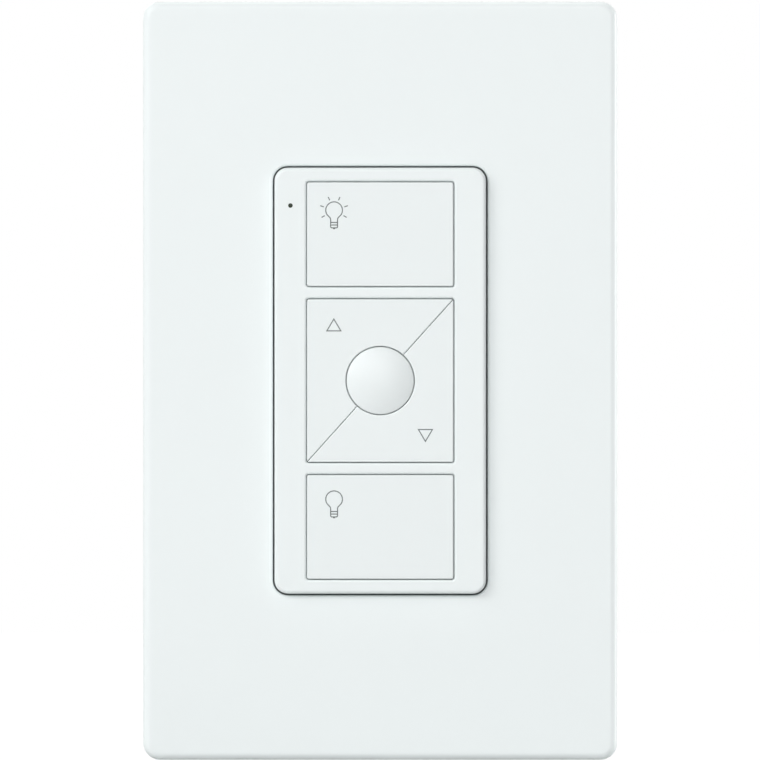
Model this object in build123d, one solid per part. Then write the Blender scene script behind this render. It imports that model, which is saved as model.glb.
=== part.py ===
from build123d import *
import os
from math import hypot, sqrt

# Battery-powered lighting keypad held in a snap-on wall plate. All sizes are in millimetres.
# Seen from the front, +X is to the right and +Z is up. The wall is the plane Y = 0 and the front
# faces -Y, so every height below is a distance from the wall, measured along -Y.

# Button windows in the bezel, and the flanges that hold the caps behind it
WINDOW_WIDTH = 23.26
END_WINDOW_HEIGHT = 16.6
MIDDLE_WINDOW_HEIGHT = 25.86
SIDE_MARGIN = 5.0
FLANGE_REACH = 0.7
FLANGE_SPACING = 0.38
FLANGE_CLEARANCE = 0.29
FLANGE_THICKNESS = 0.5
FLANGE_GAP = 0.05

# Button caps
BUTTON_CLEARANCE = 0.12
SEAM_CLEARANCE = 0.08
BUTTON_TRAVEL = 0.5
CAP_THICKNESS = 1.15
CAP_PROUD = 0.15
CAP_EDGE_CHAMFER = 0.15
CAP_CORNER_SPARE = 0.05
SEAM_TIP_SPARE = 0.3
CAP_RIM_WIDTH = 1.2
ROUND_BUTTON_DIAMETER = 10.6
ROUND_BUTTON_CROWN = 1.1
ROUND_BUTTON_EDGE_CHAMFER = 0.15
ROUND_FLANGE_REACH = 0.6
ROUND_FLANGE_THICKNESS = 0.35
NUB_DIAMETER = 3.0
NUB_GAP = 0.05

# Snap domes that the caps press
DOME_DIAMETER = 6.0
DOME_SHEET = 0.1
DOME_SPARE_HEIGHT = 0.15
SIDE_DOME_OFFSET = 9.6

# Bezel, the front half of the keypad's case
BEZEL_FRONT_WALL = 1.2
CASE_SIDE_WALL = 1.2
BEZEL_CORNER_RADIUS = 2.1
BEZEL_EDGE_CHAMFER = 0.6
WINDOW_EDGE_CHAMFER = 0.3
LEDGE_CLEARANCE = 0.6

# Indicator in the bezel's side margin
LED_HOLE_DIAMETER = 0.72
LED_DROP = 3.77
LIGHT_PIPE_CLEARANCE = 0.03
LIGHT_PIPE_RECESS = 0.1
LIGHT_PIPE_COLLAR_DIAMETER = 1.8
LIGHT_PIPE_COLLAR_THICKNESS = 0.6
LED_LENGTH = 1.6
LED_WIDTH = 0.8
LED_THICKNESS = 0.5

# Circuit board and the parts on its back
BOARD_THICKNESS = 0.8
BOARD_CLEARANCE = 0.3
BOARD_UNDER_FLANGE = 0.25
CHIP_SIDE = 5.0
CHIP_THICKNESS = 0.9
CHIP_ABOVE_CELL = 21.0
CRYSTAL_LENGTH = 3.2
CRYSTAL_WIDTH = 2.5
CRYSTAL_THICKNESS = 0.7
CRYSTAL_FROM_CHIP = 6.5
CAPACITOR_LENGTH = 1.6
CAPACITOR_WIDTH = 0.8
CAPACITOR_THICKNESS = 0.7
CAPACITOR_PITCH = 2.0
CAPACITOR_COUNT = 5
CAPACITORS_FROM_CHIP = 5.0

# Coin cell, its contacts and its door
CELL_DIAMETER = 20.0
CELL_THICKNESS = 3.2
CELL_CAP_DIAMETER = 17.6
CELL_STEP = 0.4
CELL_EDGE_CHAMFER = 0.3
CELL_CLEARANCE = 0.3
CELL_DOOR_GAP = 0.1
CONTACT_GAP = 0.45
CONTACT_SHEET = 0.15
CONTACT_WIDTH = 4.0
CONTACT_FOOT = 2.2
FINGER_LENGTH = 7.0
LEAF_GAP = 0.05
LEAF_DEPTH = 2.6
LEAF_SLOT_SPARE = 0.3
DOOR_THICKNESS = 0.8
DOOR_SIDE_MARGIN = 0.7
DOOR_END_MARGIN = 1.9
DOOR_CLEARANCE = 0.1
DOOR_CORNER_RADIUS = 1.0
DOOR_HOOK_WIDTH = 4.0
DOOR_HOOK_SPACING = 12.0
DOOR_HOOK_REACH = 1.2
DOOR_LATCH_WIDTH = 6.0
DOOR_LATCH_REACH = 0.5
DOOR_HOOK_THICKNESS = 0.6
DOOR_HOOK_POST = 0.8
DOOR_HOOK_GAP = 0.05
DOOR_GRIP_WIDTH = 8.0
DOOR_GRIP_HEIGHT = 1.6
DOOR_GRIP_DEPTH = 0.4

# Rear case, with the T-shaped back that slides into the bracket
CASE_PLATE = 1.0
REAR_WALL_HEIGHT = 1.8
LIP_THICKNESS = 0.8
LIP_CLEARANCE = 0.1
LIP_BOARD_GAP = 0.05
SNAP_LENGTH = 8.0
SNAP_HEIGHT = 0.4
SNAP_DEPTH = 0.3
SNAP_CLEARANCE = 0.08
SNAP_SPACING = 40.0
CUP_WALL = 0.8
CUP_BELOW_CELL_FACE = 0.5
CUP_NECK_GAP = 0.1
CORE_WEB = 1.2
NECK_WALL = 1.2
HEAD_HEIGHT = 50.0
HEAD_THICKNESS = 0.9
HEAD_CORNER_RADIUS = 1.5
HEAD_END_WALL = 2.8
RAIL_GROOVE = 0.7
RAIL_GRIP = 1.2

# Bracket that is screwed to the wall box
BRACKET_SIDE_MARGIN = 4.7
BRACKET_END_MARGIN = 1.0
BRACKET_CORNER_RADIUS = 4.0
BRACKET_FLOOR = 1.2
RAIL_CLEARANCE = 0.15
RAIL_LIP_CLEARANCE = 0.1
RAIL_WALL = 1.2
RAIL_OPEN_TOP = 6.0
BOX_SCREW_SPACING = 83.3
BOX_SCREW_HOLE_DIAMETER = 4.4
BOSS_DIAMETER = 9.0
BRACKET_RIB = 1.2
BRACKET_RIB_FROM_EDGE = 6.0
BRACKET_RIB_LENGTH = 64.0

# Sub-plate that carries the cover, and its two screws
SUB_PLATE_BACK = 3.4
SUB_PLATE_THICKNESS = 1.6
SUB_PLATE_MARGIN = 0.8
SUB_PLATE_CORNER_RADIUS = 2.0
SUB_PLATE_OPENING_MARGIN = 0.7
PLATE_SCREW_SPACING = 96.8
SCREW_DIAMETER = 3.5
SCREW_HEAD_DIAMETER = 6.6
SCREW_HEAD_CONE = 1.3
SCREW_CLEARANCE = 0.1
SCREW_BACK_SETBACK = 0.4
SCREW_SLOT_WIDTH = 0.9
SCREW_SLOT_DEPTH = 0.7

# Snap-on cover
COVER_WIDTH = 74.6
COVER_HEIGHT = 119.3
COVER_FRONT = 7.6
COVER_CORNER_RADIUS = 2.6
COVER_EDGE_RADIUS = 1.2
COVER_WALL = 1.8
COVER_SKIRT = 1.6
COVER_INNER_CORNER_RADIUS = 1.2
OPENING_GAP = 0.25
OPENING_EDGE_CHAMFER = 0.35
OPENING_COLLAR = 1.2
COLLAR_GAP = 0.05
HOOK_LENGTH = 8.0
HOOK_BITE = 0.7
HOOK_RAMP = 1.6
HOOK_GAP = 0.1
HOOK_SPACING = 38.0
PRY_NOTCH_WIDTH = 9.0
PRY_NOTCH_HEIGHT = 1.2

# Heights above the wall, from the bracket to the front of the caps
case_back = BRACKET_FLOOR
head_front = case_back + HEAD_THICKNESS
shoulder = head_front + RAIL_GROOVE
parting = shoulder + REAR_WALL_HEIGHT
case_plate_front = shoulder + CASE_PLATE
door_front = case_back + DOOR_THICKNESS
cell_back = door_front + CELL_DOOR_GAP
cell_front = cell_back + CELL_THICKNESS
board_back = cell_front + CONTACT_GAP
board_front = board_back + BOARD_THICKNESS
round_flange_stack = BUTTON_TRAVEL + FLANGE_GAP + ROUND_FLANGE_THICKNESS
window_flange_stack = BEZEL_FRONT_WALL + CAP_PROUD - CAP_THICKNESS + FLANGE_GAP + FLANGE_THICKNESS
cap_back = board_front + BOARD_UNDER_FLANGE + BUTTON_TRAVEL + max(round_flange_stack, window_flange_stack)
cap_front = cap_back + CAP_THICKNESS
bezel_front = cap_front - CAP_PROUD
bezel_back = bezel_front - BEZEL_FRONT_WALL
flange_front = bezel_back - FLANGE_GAP
flange_back = flange_front - FLANGE_THICKNESS
round_flange_front = cap_back - BUTTON_TRAVEL - FLANGE_GAP
round_flange_back = round_flange_front - ROUND_FLANGE_THICKNESS
dome_height = BUTTON_TRAVEL + DOME_SPARE_HEIGHT
nub_tip = board_front + dome_height + NUB_GAP
sub_plate_front = SUB_PLATE_BACK + SUB_PLATE_THICKNESS
cover_inside = COVER_FRONT - COVER_WALL

# Outline of the keypad and the places of its windows
end_margin = CASE_SIDE_WALL + FLANGE_CLEARANCE + FLANGE_REACH
window_bar = 2 * FLANGE_REACH + FLANGE_SPACING
end_window_z = MIDDLE_WINDOW_HEIGHT / 2 + window_bar + END_WINDOW_HEIGHT / 2
keypad_width = WINDOW_WIDTH + 2 * SIDE_MARGIN
keypad_height = 2 * (end_window_z + END_WINDOW_HEIGHT / 2 + end_margin)
inside_width = keypad_width - 2 * CASE_SIDE_WALL
inside_height = keypad_height - 2 * CASE_SIDE_WALL
inside_corner_radius = BEZEL_CORNER_RADIUS - CASE_SIDE_WALL
cap_corner_cut = CAP_EDGE_CHAMFER + CAP_CORNER_SPARE
seam_tip_cut = CAP_EDGE_CHAMFER + SEAM_TIP_SPARE
window_corner_cut = cap_corner_cut + (2 - sqrt(2)) * BUTTON_CLEARANCE
led_x = -(WINDOW_WIDTH + SIDE_MARGIN) / 2
led_z = end_window_z + END_WINDOW_HEIGHT / 2 - LED_DROP

# Seam between the raise and lower caps, from the lower left to the upper right corner
seam_length = hypot(WINDOW_WIDTH, MIDDLE_WINDOW_HEIGHT)
seam_x = WINDOW_WIDTH / seam_length
seam_z = MIDDLE_WINDOW_HEIGHT / seam_length
cap_bore_radius = ROUND_BUTTON_DIAMETER / 2 + BUTTON_CLEARANCE
dome_places = {
    "on": (0, end_window_z),
    "raise": (-seam_z * SIDE_DOME_OFFSET, seam_x * SIDE_DOME_OFFSET),
    "favourite": (0, 0),
    "lower": (seam_z * SIDE_DOME_OFFSET, -seam_x * SIDE_DOME_OFFSET),
    "off": (0, -end_window_z),
}

# Battery bay in the rear case
cup_inner_radius = CELL_DIAMETER / 2 + CELL_CLEARANCE
cup_outer_radius = cup_inner_radius + CUP_WALL
bay_width = 2 * (cup_outer_radius + CUP_NECK_GAP)
neck_width = bay_width + 2 * NECK_WALL
head_width = neck_width + 2 * RAIL_GRIP
door_width = 2 * (cup_inner_radius + DOOR_SIDE_MARGIN)
door_height = 2 * (cup_inner_radius + DOOR_END_MARGIN)
cell_z = -HEAD_HEIGHT / 2 + HEAD_END_WALL + door_height / 2

# Opening of the cover round the keypad, and what fits inside the cover
opening_width = keypad_width + 2 * OPENING_GAP
opening_height = keypad_height + 2 * OPENING_GAP
opening_corner_radius = BEZEL_CORNER_RADIUS + OPENING_GAP
cover_inside_width = COVER_WIDTH - 2 * COVER_SKIRT
cover_inside_height = COVER_HEIGHT - 2 * COVER_SKIRT
sub_plate_width = cover_inside_width - 2 * SUB_PLATE_MARGIN
sub_plate_height = cover_inside_height - 2 * SUB_PLATE_MARGIN
bracket_width = cover_inside_width - 2 * BRACKET_SIDE_MARGIN
bracket_height = cover_inside_height - 2 * BRACKET_END_MARGIN


def slab(outline, low, high):
    """Solid between two heights above the wall, with this outline seen from the front."""
    return extrude(Plane.XZ.offset(low) * outline, high - low)


def side_slab(outline, middle_x, width):
    """Solid of a given width about middle_x, with this outline seen from the side.

    The outline's first axis is +Z and its second is the height above the wall.
    """
    side = Plane((middle_x - width / 2, 0, 0), x_dir=(0, 0, 1), z_dir=(1, 0, 0))
    return extrude(side * outline, width)


def level_slab(outline, middle_z, height):
    """Solid of a given height about middle_z, with this outline seen from below.

    The outline's first axis is +X and its second is the height above the wall.
    """
    level = Plane((0, 0, middle_z + height / 2), x_dir=(1, 0, 0), z_dir=(0, 0, -1))
    return extrude(level * outline, height)


def front_edges(solid):
    """Edges round the outside of the face nearest to the viewer."""
    return solid.faces().sort_by(Axis.Y)[0].outer_wire().edges()


def front_hole_edges(solid):
    """Edges of the holes in the face nearest to the viewer."""
    wires = solid.faces().sort_by(Axis.Y)[0].inner_wires()
    return [edge for wire in wires for edge in wire.edges()]


def above_seam(setback):
    """Half of the front view that lies to the upper left of the seam, set back from it."""
    reach = 2 * seam_length
    near = Vector(-seam_z, seam_x) * setback
    along = Vector(seam_x, seam_z) * reach
    across = Vector(-seam_z, seam_x) * reach
    corners = (near - along, near + along, near + along + across, near - along + across)
    return make_face(Polyline(*corners, close=True))


def button_cap(height, keep=None):
    """Cap of one window: a plate with a rim and a flange behind the bezel.

    Where keep is given, only that part of the window's cap is made, with a bore for the round button.
    """
    cap_width = WINDOW_WIDTH - 2 * BUTTON_CLEARANCE
    cap_height = height - 2 * BUTTON_CLEARANCE
    face = chamfer(Rectangle(cap_width, cap_height).vertices(), cap_corner_cut)
    hollow = Rectangle(cap_width - 2 * CAP_RIM_WIDTH, cap_height - 2 * CAP_RIM_WIDTH)
    flange = Rectangle(WINDOW_WIDTH + 2 * FLANGE_REACH, height + 2 * FLANGE_REACH)
    if keep is not None:
        face = split_face(Rectangle(cap_width, cap_height) & keep)
        hollow += Circle(cap_bore_radius)
        flange &= keep
    plate = slab(face, cap_back, cap_front)
    plate = chamfer(front_edges(plate), CAP_EDGE_CHAMFER)
    plate += slab(face - hollow, flange_back, cap_back)
    return plate + slab(flange - hollow, flange_back, flange_front)


def split_face(triangle):
    """Front of a raise or lower cap: blunt at its corner and its two tips, and bored in the middle."""
    tip, other_tip = triangle.vertices().sort_by(Axis((0, 0, 0), (seam_x, seam_z, 0)))[0::2]
    face = chamfer([tip, other_tip], seam_tip_cut)
    corner = face.vertices().sort_by(Axis((0, 0, 0), (-seam_z, seam_x, 0)))[-1]
    return chamfer(corner, cap_corner_cut) - Circle(cap_bore_radius)


def nub(place):
    """Peg behind a cap that presses its dome."""
    return slab(Pos(*place) * Circle(NUB_DIAMETER / 2), nub_tip, cap_back)


def end_button(name):
    """Full-width cap at the top or bottom of the keypad."""
    x, z = dome_places[name]
    return Pos(x, 0, z) * button_cap(END_WINDOW_HEIGHT) + nub((x, z))


def raise_button():
    """Upper left half of the middle window, cut round the round button."""
    return button_cap(MIDDLE_WINDOW_HEIGHT, above_seam(SEAM_CLEARANCE / 2)) + nub(dome_places["raise"])


def lower_button():
    """Lower right half of the middle window: the raise button turned by half a turn."""
    return Rot(0, 180, 0) * raise_button()


def round_button():
    """Crowned centre button, turned in one with its nub and the flange behind the raise and lower caps."""
    radius = ROUND_BUTTON_DIAMETER / 2
    flange_radius = cap_bore_radius + ROUND_FLANGE_REACH
    crown_top = (0, -cap_front - ROUND_BUTTON_CROWN)
    crown_edge = (radius - ROUND_BUTTON_EDGE_CHAMFER, -cap_front)
    side = Polyline(
        crown_edge,
        (radius, -cap_front + ROUND_BUTTON_EDGE_CHAMFER),
        (radius, -round_flange_front),
        (flange_radius, -round_flange_front),
        (flange_radius, -round_flange_back),
        (NUB_DIAMETER / 2, -round_flange_back),
        (NUB_DIAMETER / 2, -nub_tip),
        (0, -nub_tip),
        crown_top,
    )
    crown = TangentArc(crown_top, crown_edge, tangent=(1, 0))
    return revolve(make_face(side + crown), Axis.Y)


def snap_dome(place):
    """Thin sprung dome on the board: a cap cut from a hollow sphere."""
    radius = DOME_DIAMETER / 2
    sphere_radius = (radius**2 + dome_height**2) / (2 * dome_height)
    x, z = place
    centre = Pos(x, -(board_front + dome_height - sphere_radius), z)
    shell = centre * (Sphere(sphere_radius) - Sphere(sphere_radius - DOME_SHEET))
    return shell & slab(Pos(*place) * Circle(DOME_DIAMETER), board_front, board_front + 2 * dome_height)


def bezel():
    """Front half of the case: three windows, the indicator hole and ledges that seat the board."""
    outline = RectangleRounded(keypad_width, keypad_height, BEZEL_CORNER_RADIUS)
    hollow = RectangleRounded(inside_width, inside_height, inside_corner_radius)
    shell = slab(outline, parting, bezel_front)
    shell = chamfer(front_edges(shell), BEZEL_EDGE_CHAMFER)
    shell -= slab(hollow, parting, bezel_back)
    for height, middle in (
        (END_WINDOW_HEIGHT, end_window_z),
        (MIDDLE_WINDOW_HEIGHT, 0),
        (END_WINDOW_HEIGHT, -end_window_z),
    ):
        window = chamfer(Rectangle(WINDOW_WIDTH, height).vertices(), window_corner_cut)
        shell -= slab(Pos(0, middle) * window, bezel_back, bezel_front)
    shell = chamfer(front_hole_edges(shell), WINDOW_EDGE_CHAMFER)
    shell -= slab(Pos(led_x, led_z) * Circle(LED_HOLE_DIAMETER / 2), bezel_back, bezel_front)
    ledge_inside = WINDOW_WIDTH / 2 + FLANGE_REACH + LEDGE_CLEARANCE
    ledge_width = inside_width / 2 - ledge_inside
    ledge_top = led_z - LIGHT_PIPE_COLLAR_DIAMETER
    ledge_bottom = -inside_height / 2 + inside_corner_radius
    ledge = Rectangle(ledge_width, ledge_top - ledge_bottom)
    for side in (-1, 1):
        place = Pos(side * (ledge_inside + ledge_width / 2), (ledge_top + ledge_bottom) / 2)
        shell += slab(place * ledge, board_front, bezel_back)
    return shell - snap_strips(inside_width / 2, SNAP_DEPTH + SNAP_CLEARANCE, SNAP_CLEARANCE)


def snap_strips(wall_x, depth, grow):
    """Four strips on the case's side walls, as ridges on the lip or, grown, as grooves in the bezel."""
    middle = parting + (board_back - LIP_BOARD_GAP - parting) / 2
    strip = Rectangle(depth, SNAP_LENGTH + 2 * grow)
    low, high = middle - SNAP_HEIGHT / 2 - grow, middle + SNAP_HEIGHT / 2 + grow
    strips = [
        slab(Pos(side * (wall_x + depth / 2), end * SNAP_SPACING / 2) * strip, low, high)
        for side in (-1, 1)
        for end in (-1, 1)
    ]
    return Part() + strips


def light_pipe():
    """Clear pin that carries the indicator's light through the bezel, with a collar behind it."""
    pin = Circle(LED_HOLE_DIAMETER / 2 - LIGHT_PIPE_CLEARANCE)
    collar = Circle(LIGHT_PIPE_COLLAR_DIAMETER / 2)
    place = Pos(led_x, led_z)
    pipe = slab(place * pin, bezel_back, bezel_front - LIGHT_PIPE_RECESS)
    return pipe + slab(place * collar, bezel_back - LIGHT_PIPE_COLLAR_THICKNESS, bezel_back)


def indicator_led():
    """Small chip lamp on the front of the board, behind the light pipe."""
    body = Pos(led_x, led_z) * Rectangle(LED_WIDTH, LED_LENGTH)
    return slab(body, board_front, board_front + LED_THICKNESS)


def circuit_board():
    """Board that fills the bezel, behind its ledges."""
    outline = RectangleRounded(
        inside_width - 2 * BOARD_CLEARANCE, inside_height - 2 * BOARD_CLEARANCE, inside_corner_radius
    )
    return slab(outline, board_back, board_front)


def controller_chip():
    """Radio controller on the back of the board, above the coin cell."""
    place = Pos(0, cell_z + CHIP_ABOVE_CELL)
    return slab(place * Rectangle(CHIP_SIDE, CHIP_SIDE), board_back - CHIP_THICKNESS, board_back)


def crystal():
    """Crystal can beside the controller."""
    can = Pos(CRYSTAL_FROM_CHIP, cell_z + CHIP_ABOVE_CELL) * Rectangle(CRYSTAL_WIDTH, CRYSTAL_LENGTH)
    return slab(can, board_back - CRYSTAL_THICKNESS, board_back)


def chip_capacitors():
    """Row of chip capacitors above the controller."""
    z = cell_z + CHIP_ABOVE_CELL + CAPACITORS_FROM_CHIP
    first = -(CAPACITOR_COUNT - 1) * CAPACITOR_PITCH / 2
    body = Rectangle(CAPACITOR_WIDTH, CAPACITOR_LENGTH)
    row = [
        slab(Pos(first + i * CAPACITOR_PITCH, z) * body, board_back - CAPACITOR_THICKNESS, board_back)
        for i in range(CAPACITOR_COUNT)
    ]
    return Part() + row


def coin_cell():
    """Coin cell: a can with a smaller, raised negative face towards the board."""
    place = Pos(0, cell_z)
    can = slab(place * Circle(CELL_DIAMETER / 2), cell_back, cell_front - CELL_STEP)
    can = chamfer(can.edges().filter_by(GeomType.CIRCLE), CELL_EDGE_CHAMFER)
    cap = slab(place * Circle(CELL_CAP_DIAMETER / 2), cell_front - 2 * CELL_STEP, cell_front)
    return can + cap


def negative_contact():
    """Sprung finger under the cell: a strip bent from the board up to the cell's negative face."""
    foot_start = cell_z + FINGER_LENGTH / 2 + CONTACT_FOOT
    foot_end = cell_z + FINGER_LENGTH / 2
    bend_end = foot_end - CONTACT_GAP
    tip = cell_z - FINGER_LENGTH / 2
    top, bottom = board_back, board_back - CONTACT_SHEET
    touch_top, touch_bottom = cell_front + CONTACT_SHEET, cell_front
    outline = Polyline(
        (foot_start, top),
        (foot_end, top),
        (bend_end, touch_top),
        (tip, touch_top),
        (tip, touch_bottom),
        (bend_end, touch_bottom),
        (foot_end, bottom),
        (foot_start, bottom),
        close=True,
    )
    return side_slab(make_face(outline), 0, CONTACT_WIDTH)


def positive_contact():
    """Leaf beside the cell: a foot on the board, and a tongue that presses on the can's side."""
    inside = CELL_DIAMETER / 2 + LEAF_GAP
    outside = inside + CONTACT_SHEET
    leaf_end = board_back - LEAF_DEPTH
    outline = Polyline(
        (inside, board_back),
        (inside, leaf_end),
        (outside, leaf_end),
        (outside, board_back - CONTACT_SHEET),
        (outside + CONTACT_FOOT, board_back - CONTACT_SHEET),
        (outside + CONTACT_FOOT, board_back),
        close=True,
    )
    return level_slab(make_face(outline), cell_z, CONTACT_WIDTH)


def rear_case():
    """Back half of the case: a tray with a lip inside the bezel, the battery bay and the T-shaped back."""
    outline = RectangleRounded(keypad_width, keypad_height, BEZEL_CORNER_RADIUS)
    lip_radius = inside_corner_radius - LIP_CLEARANCE
    lip_width, lip_height = inside_width - 2 * LIP_CLEARANCE, inside_height - 2 * LIP_CLEARANCE
    lip = RectangleRounded(lip_width, lip_height, lip_radius)
    lip_hollow = Rectangle(lip_width - 2 * LIP_THICKNESS, lip_height - 2 * LIP_THICKNESS)
    tray = slab(outline, shoulder, parting) - slab(lip_hollow, case_plate_front, parting)
    tray += slab(lip - lip_hollow, parting, board_back - LIP_BOARD_GAP)
    tray += snap_strips(lip_width / 2, SNAP_DEPTH, 0)
    tray += slab(Rectangle(neck_width, HEAD_HEIGHT), head_front, shoulder)
    tray += slab(RectangleRounded(head_width, HEAD_HEIGHT, HEAD_CORNER_RADIUS), case_back, head_front)
    cup = Pos(0, cell_z) * Circle(cup_outer_radius)
    tray += slab(cup, case_plate_front, cell_front - CUP_BELOW_CELL_FACE)
    return tray - battery_bay()


def battery_bay():
    """Space cut from the rear case for the coin cell, its leaf and its door, with a cored window above."""
    leaf_inside, leaf_outside = CELL_DIAMETER / 2, cup_outer_radius + LEAF_SLOT_SPARE
    leaf_slot = Rectangle(leaf_outside - leaf_inside, CONTACT_WIDTH + 2 * LEAF_SLOT_SPARE)
    cell_hole = Circle(cup_inner_radius) + Pos((leaf_inside + leaf_outside) / 2, 0) * leaf_slot
    bay_top = HEAD_HEIGHT / 2 - NECK_WALL
    core_bottom = cell_z + cup_outer_radius + CORE_WEB
    core = Pos(0, (core_bottom + bay_top) / 2) * Rectangle(bay_width, bay_top - core_bottom)
    gap = 2 * DOOR_CLEARANCE
    doorway = RectangleRounded(door_width + gap, door_height + gap, DOOR_CORNER_RADIUS + DOOR_CLEARANCE)
    bay = slab(Pos(0, cell_z) * doorway, case_back, door_front)
    bay += slab(Rectangle(bay_width, 2 * bay_top), door_front, shoulder)
    bay += slab(Pos(0, cell_z) * cell_hole, shoulder, cell_front)
    return bay + slab(core, shoulder, case_plate_front)


def battery_door():
    """Door in the keypad's back, with two hooks at its top and a latch at its bottom."""
    outline = Pos(0, cell_z) * RectangleRounded(door_width, door_height, DOOR_CORNER_RADIUS)
    plate = slab(outline, case_back, door_front)
    grip_z = cell_z - door_height / 2 + DOOR_GRIP_HEIGHT
    grip = Pos(0, grip_z) * SlotOverall(DOOR_GRIP_WIDTH, DOOR_GRIP_HEIGHT)
    plate -= slab(grip, case_back, case_back + DOOR_GRIP_DEPTH)
    for x in (-DOOR_HOOK_SPACING / 2, DOOR_HOOK_SPACING / 2):
        plate += door_hook(x, DOOR_HOOK_WIDTH, DOOR_HOOK_REACH, 1)
    return plate + door_hook(0, DOOR_LATCH_WIDTH, DOOR_LATCH_REACH, -1)


def door_hook(x, width, reach, end):
    """Hook at one end of the door that reaches under the case's back wall."""
    edge = door_height / 2
    tip = edge + DOOR_CLEARANCE + reach
    under, top = door_front + DOOR_HOOK_GAP, door_front + DOOR_HOOK_GAP + DOOR_HOOK_THICKNESS
    outline = Polyline(
        (cell_z + end * (edge - DOOR_HOOK_POST), door_front),
        (cell_z + end * (edge - DOOR_HOOK_POST), top),
        (cell_z + end * tip, top),
        (cell_z + end * tip, under),
        (cell_z + end * edge, under),
        (cell_z + end * edge, door_front),
        close=True,
    )
    return side_slab(make_face(outline), x, width)


def wall_bracket():
    """Plate on the wall: rails for the keypad's back, bosses for the sub-plate and holes for the box."""
    outline = RectangleRounded(bracket_width, bracket_height, BRACKET_CORNER_RADIUS)
    plate = slab(outline, 0, BRACKET_FLOOR)
    screw_hole = Circle(SCREW_DIAMETER / 2 + SCREW_CLEARANCE)
    box_hole = Circle(BOX_SCREW_HOLE_DIAMETER / 2)
    for end in (-1, 1):
        screw_place = Pos(0, end * PLATE_SCREW_SPACING / 2)
        box_place = Pos(0, end * BOX_SCREW_SPACING / 2)
        boss = screw_place * Circle(BOSS_DIAMETER / 2) & outline
        plate += slab(boss, BRACKET_FLOOR, SUB_PLATE_BACK)
        plate -= slab(screw_place * screw_hole, 0, SUB_PLATE_BACK)
        plate -= slab(box_place * box_hole, 0, BRACKET_FLOOR)
    rib = Rectangle(BRACKET_RIB, BRACKET_RIB_LENGTH)
    rib_x = bracket_width / 2 - BRACKET_RIB_FROM_EDGE
    for side in (-1, 1):
        plate += slab(Pos(side * rib_x, 0) * rib, BRACKET_FLOOR, SUB_PLATE_BACK)
        plate += keypad_rail(side)
    stop_z = -HEAD_HEIGHT / 2 - RAIL_CLEARANCE - RAIL_WALL / 2
    stop = Pos(0, stop_z) * Rectangle(neck_width, RAIL_WALL)
    return plate + slab(stop, BRACKET_FLOOR, head_front)


def keypad_rail(side):
    """Upright rail with a lip that reaches into the groove beside the keypad's neck."""
    wall_x = head_width / 2 + RAIL_CLEARANCE
    lip_x = neck_width / 2 + RAIL_CLEARANCE
    lip_low, lip_high = head_front + RAIL_LIP_CLEARANCE, shoulder - RAIL_LIP_CLEARANCE
    outline = Polyline(
        (side * (wall_x + RAIL_WALL), BRACKET_FLOOR),
        (side * (wall_x + RAIL_WALL), lip_high),
        (side * lip_x, lip_high),
        (side * lip_x, lip_low),
        (side * wall_x, lip_low),
        (side * wall_x, BRACKET_FLOOR),
        close=True,
    )
    bottom = -HEAD_HEIGHT / 2 - RAIL_CLEARANCE
    top = HEAD_HEIGHT / 2 - RAIL_OPEN_TOP
    return level_slab(make_face(outline), (bottom + top) / 2, top - bottom)


def screw_cone(grow):
    """Cone of a countersunk head, flush with the sub-plate's front."""
    cone = Cone(SCREW_DIAMETER / 2 + grow, SCREW_HEAD_DIAMETER / 2 + grow, SCREW_HEAD_CONE)
    middle = sub_plate_front - SCREW_HEAD_CONE / 2
    return Pos(0, -middle, 0) * Rot(90, 0, 0) * cone


def sub_plate():
    """Frame that is screwed to the bracket and carries the cover."""
    outline = RectangleRounded(sub_plate_width, sub_plate_height, SUB_PLATE_CORNER_RADIUS)
    opening = RectangleRounded(
        keypad_width + 2 * SUB_PLATE_OPENING_MARGIN,
        keypad_height + 2 * SUB_PLATE_OPENING_MARGIN,
        BEZEL_CORNER_RADIUS + SUB_PLATE_OPENING_MARGIN,
    )
    frame = slab(outline - opening, SUB_PLATE_BACK, sub_plate_front)
    for end in (-1, 1):
        place = Pos(0, 0, end * PLATE_SCREW_SPACING / 2)
        shank = slab(Circle(SCREW_DIAMETER / 2 + SCREW_CLEARANCE), SUB_PLATE_BACK, sub_plate_front)
        frame -= place * (screw_cone(SCREW_CLEARANCE) + shank)
    return frame


def plate_screws():
    """Two countersunk screws with slotted heads that hold the sub-plate to the bracket."""
    screw = screw_cone(0) + slab(Circle(SCREW_DIAMETER / 2), SCREW_BACK_SETBACK, sub_plate_front)
    slot = Rectangle(SCREW_HEAD_DIAMETER, SCREW_SLOT_WIDTH)
    screw -= slab(slot, sub_plate_front - SCREW_SLOT_DEPTH, sub_plate_front)
    return Part() + [Pos(0, 0, end * PLATE_SCREW_SPACING / 2) * screw for end in (-1, 1)]


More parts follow.
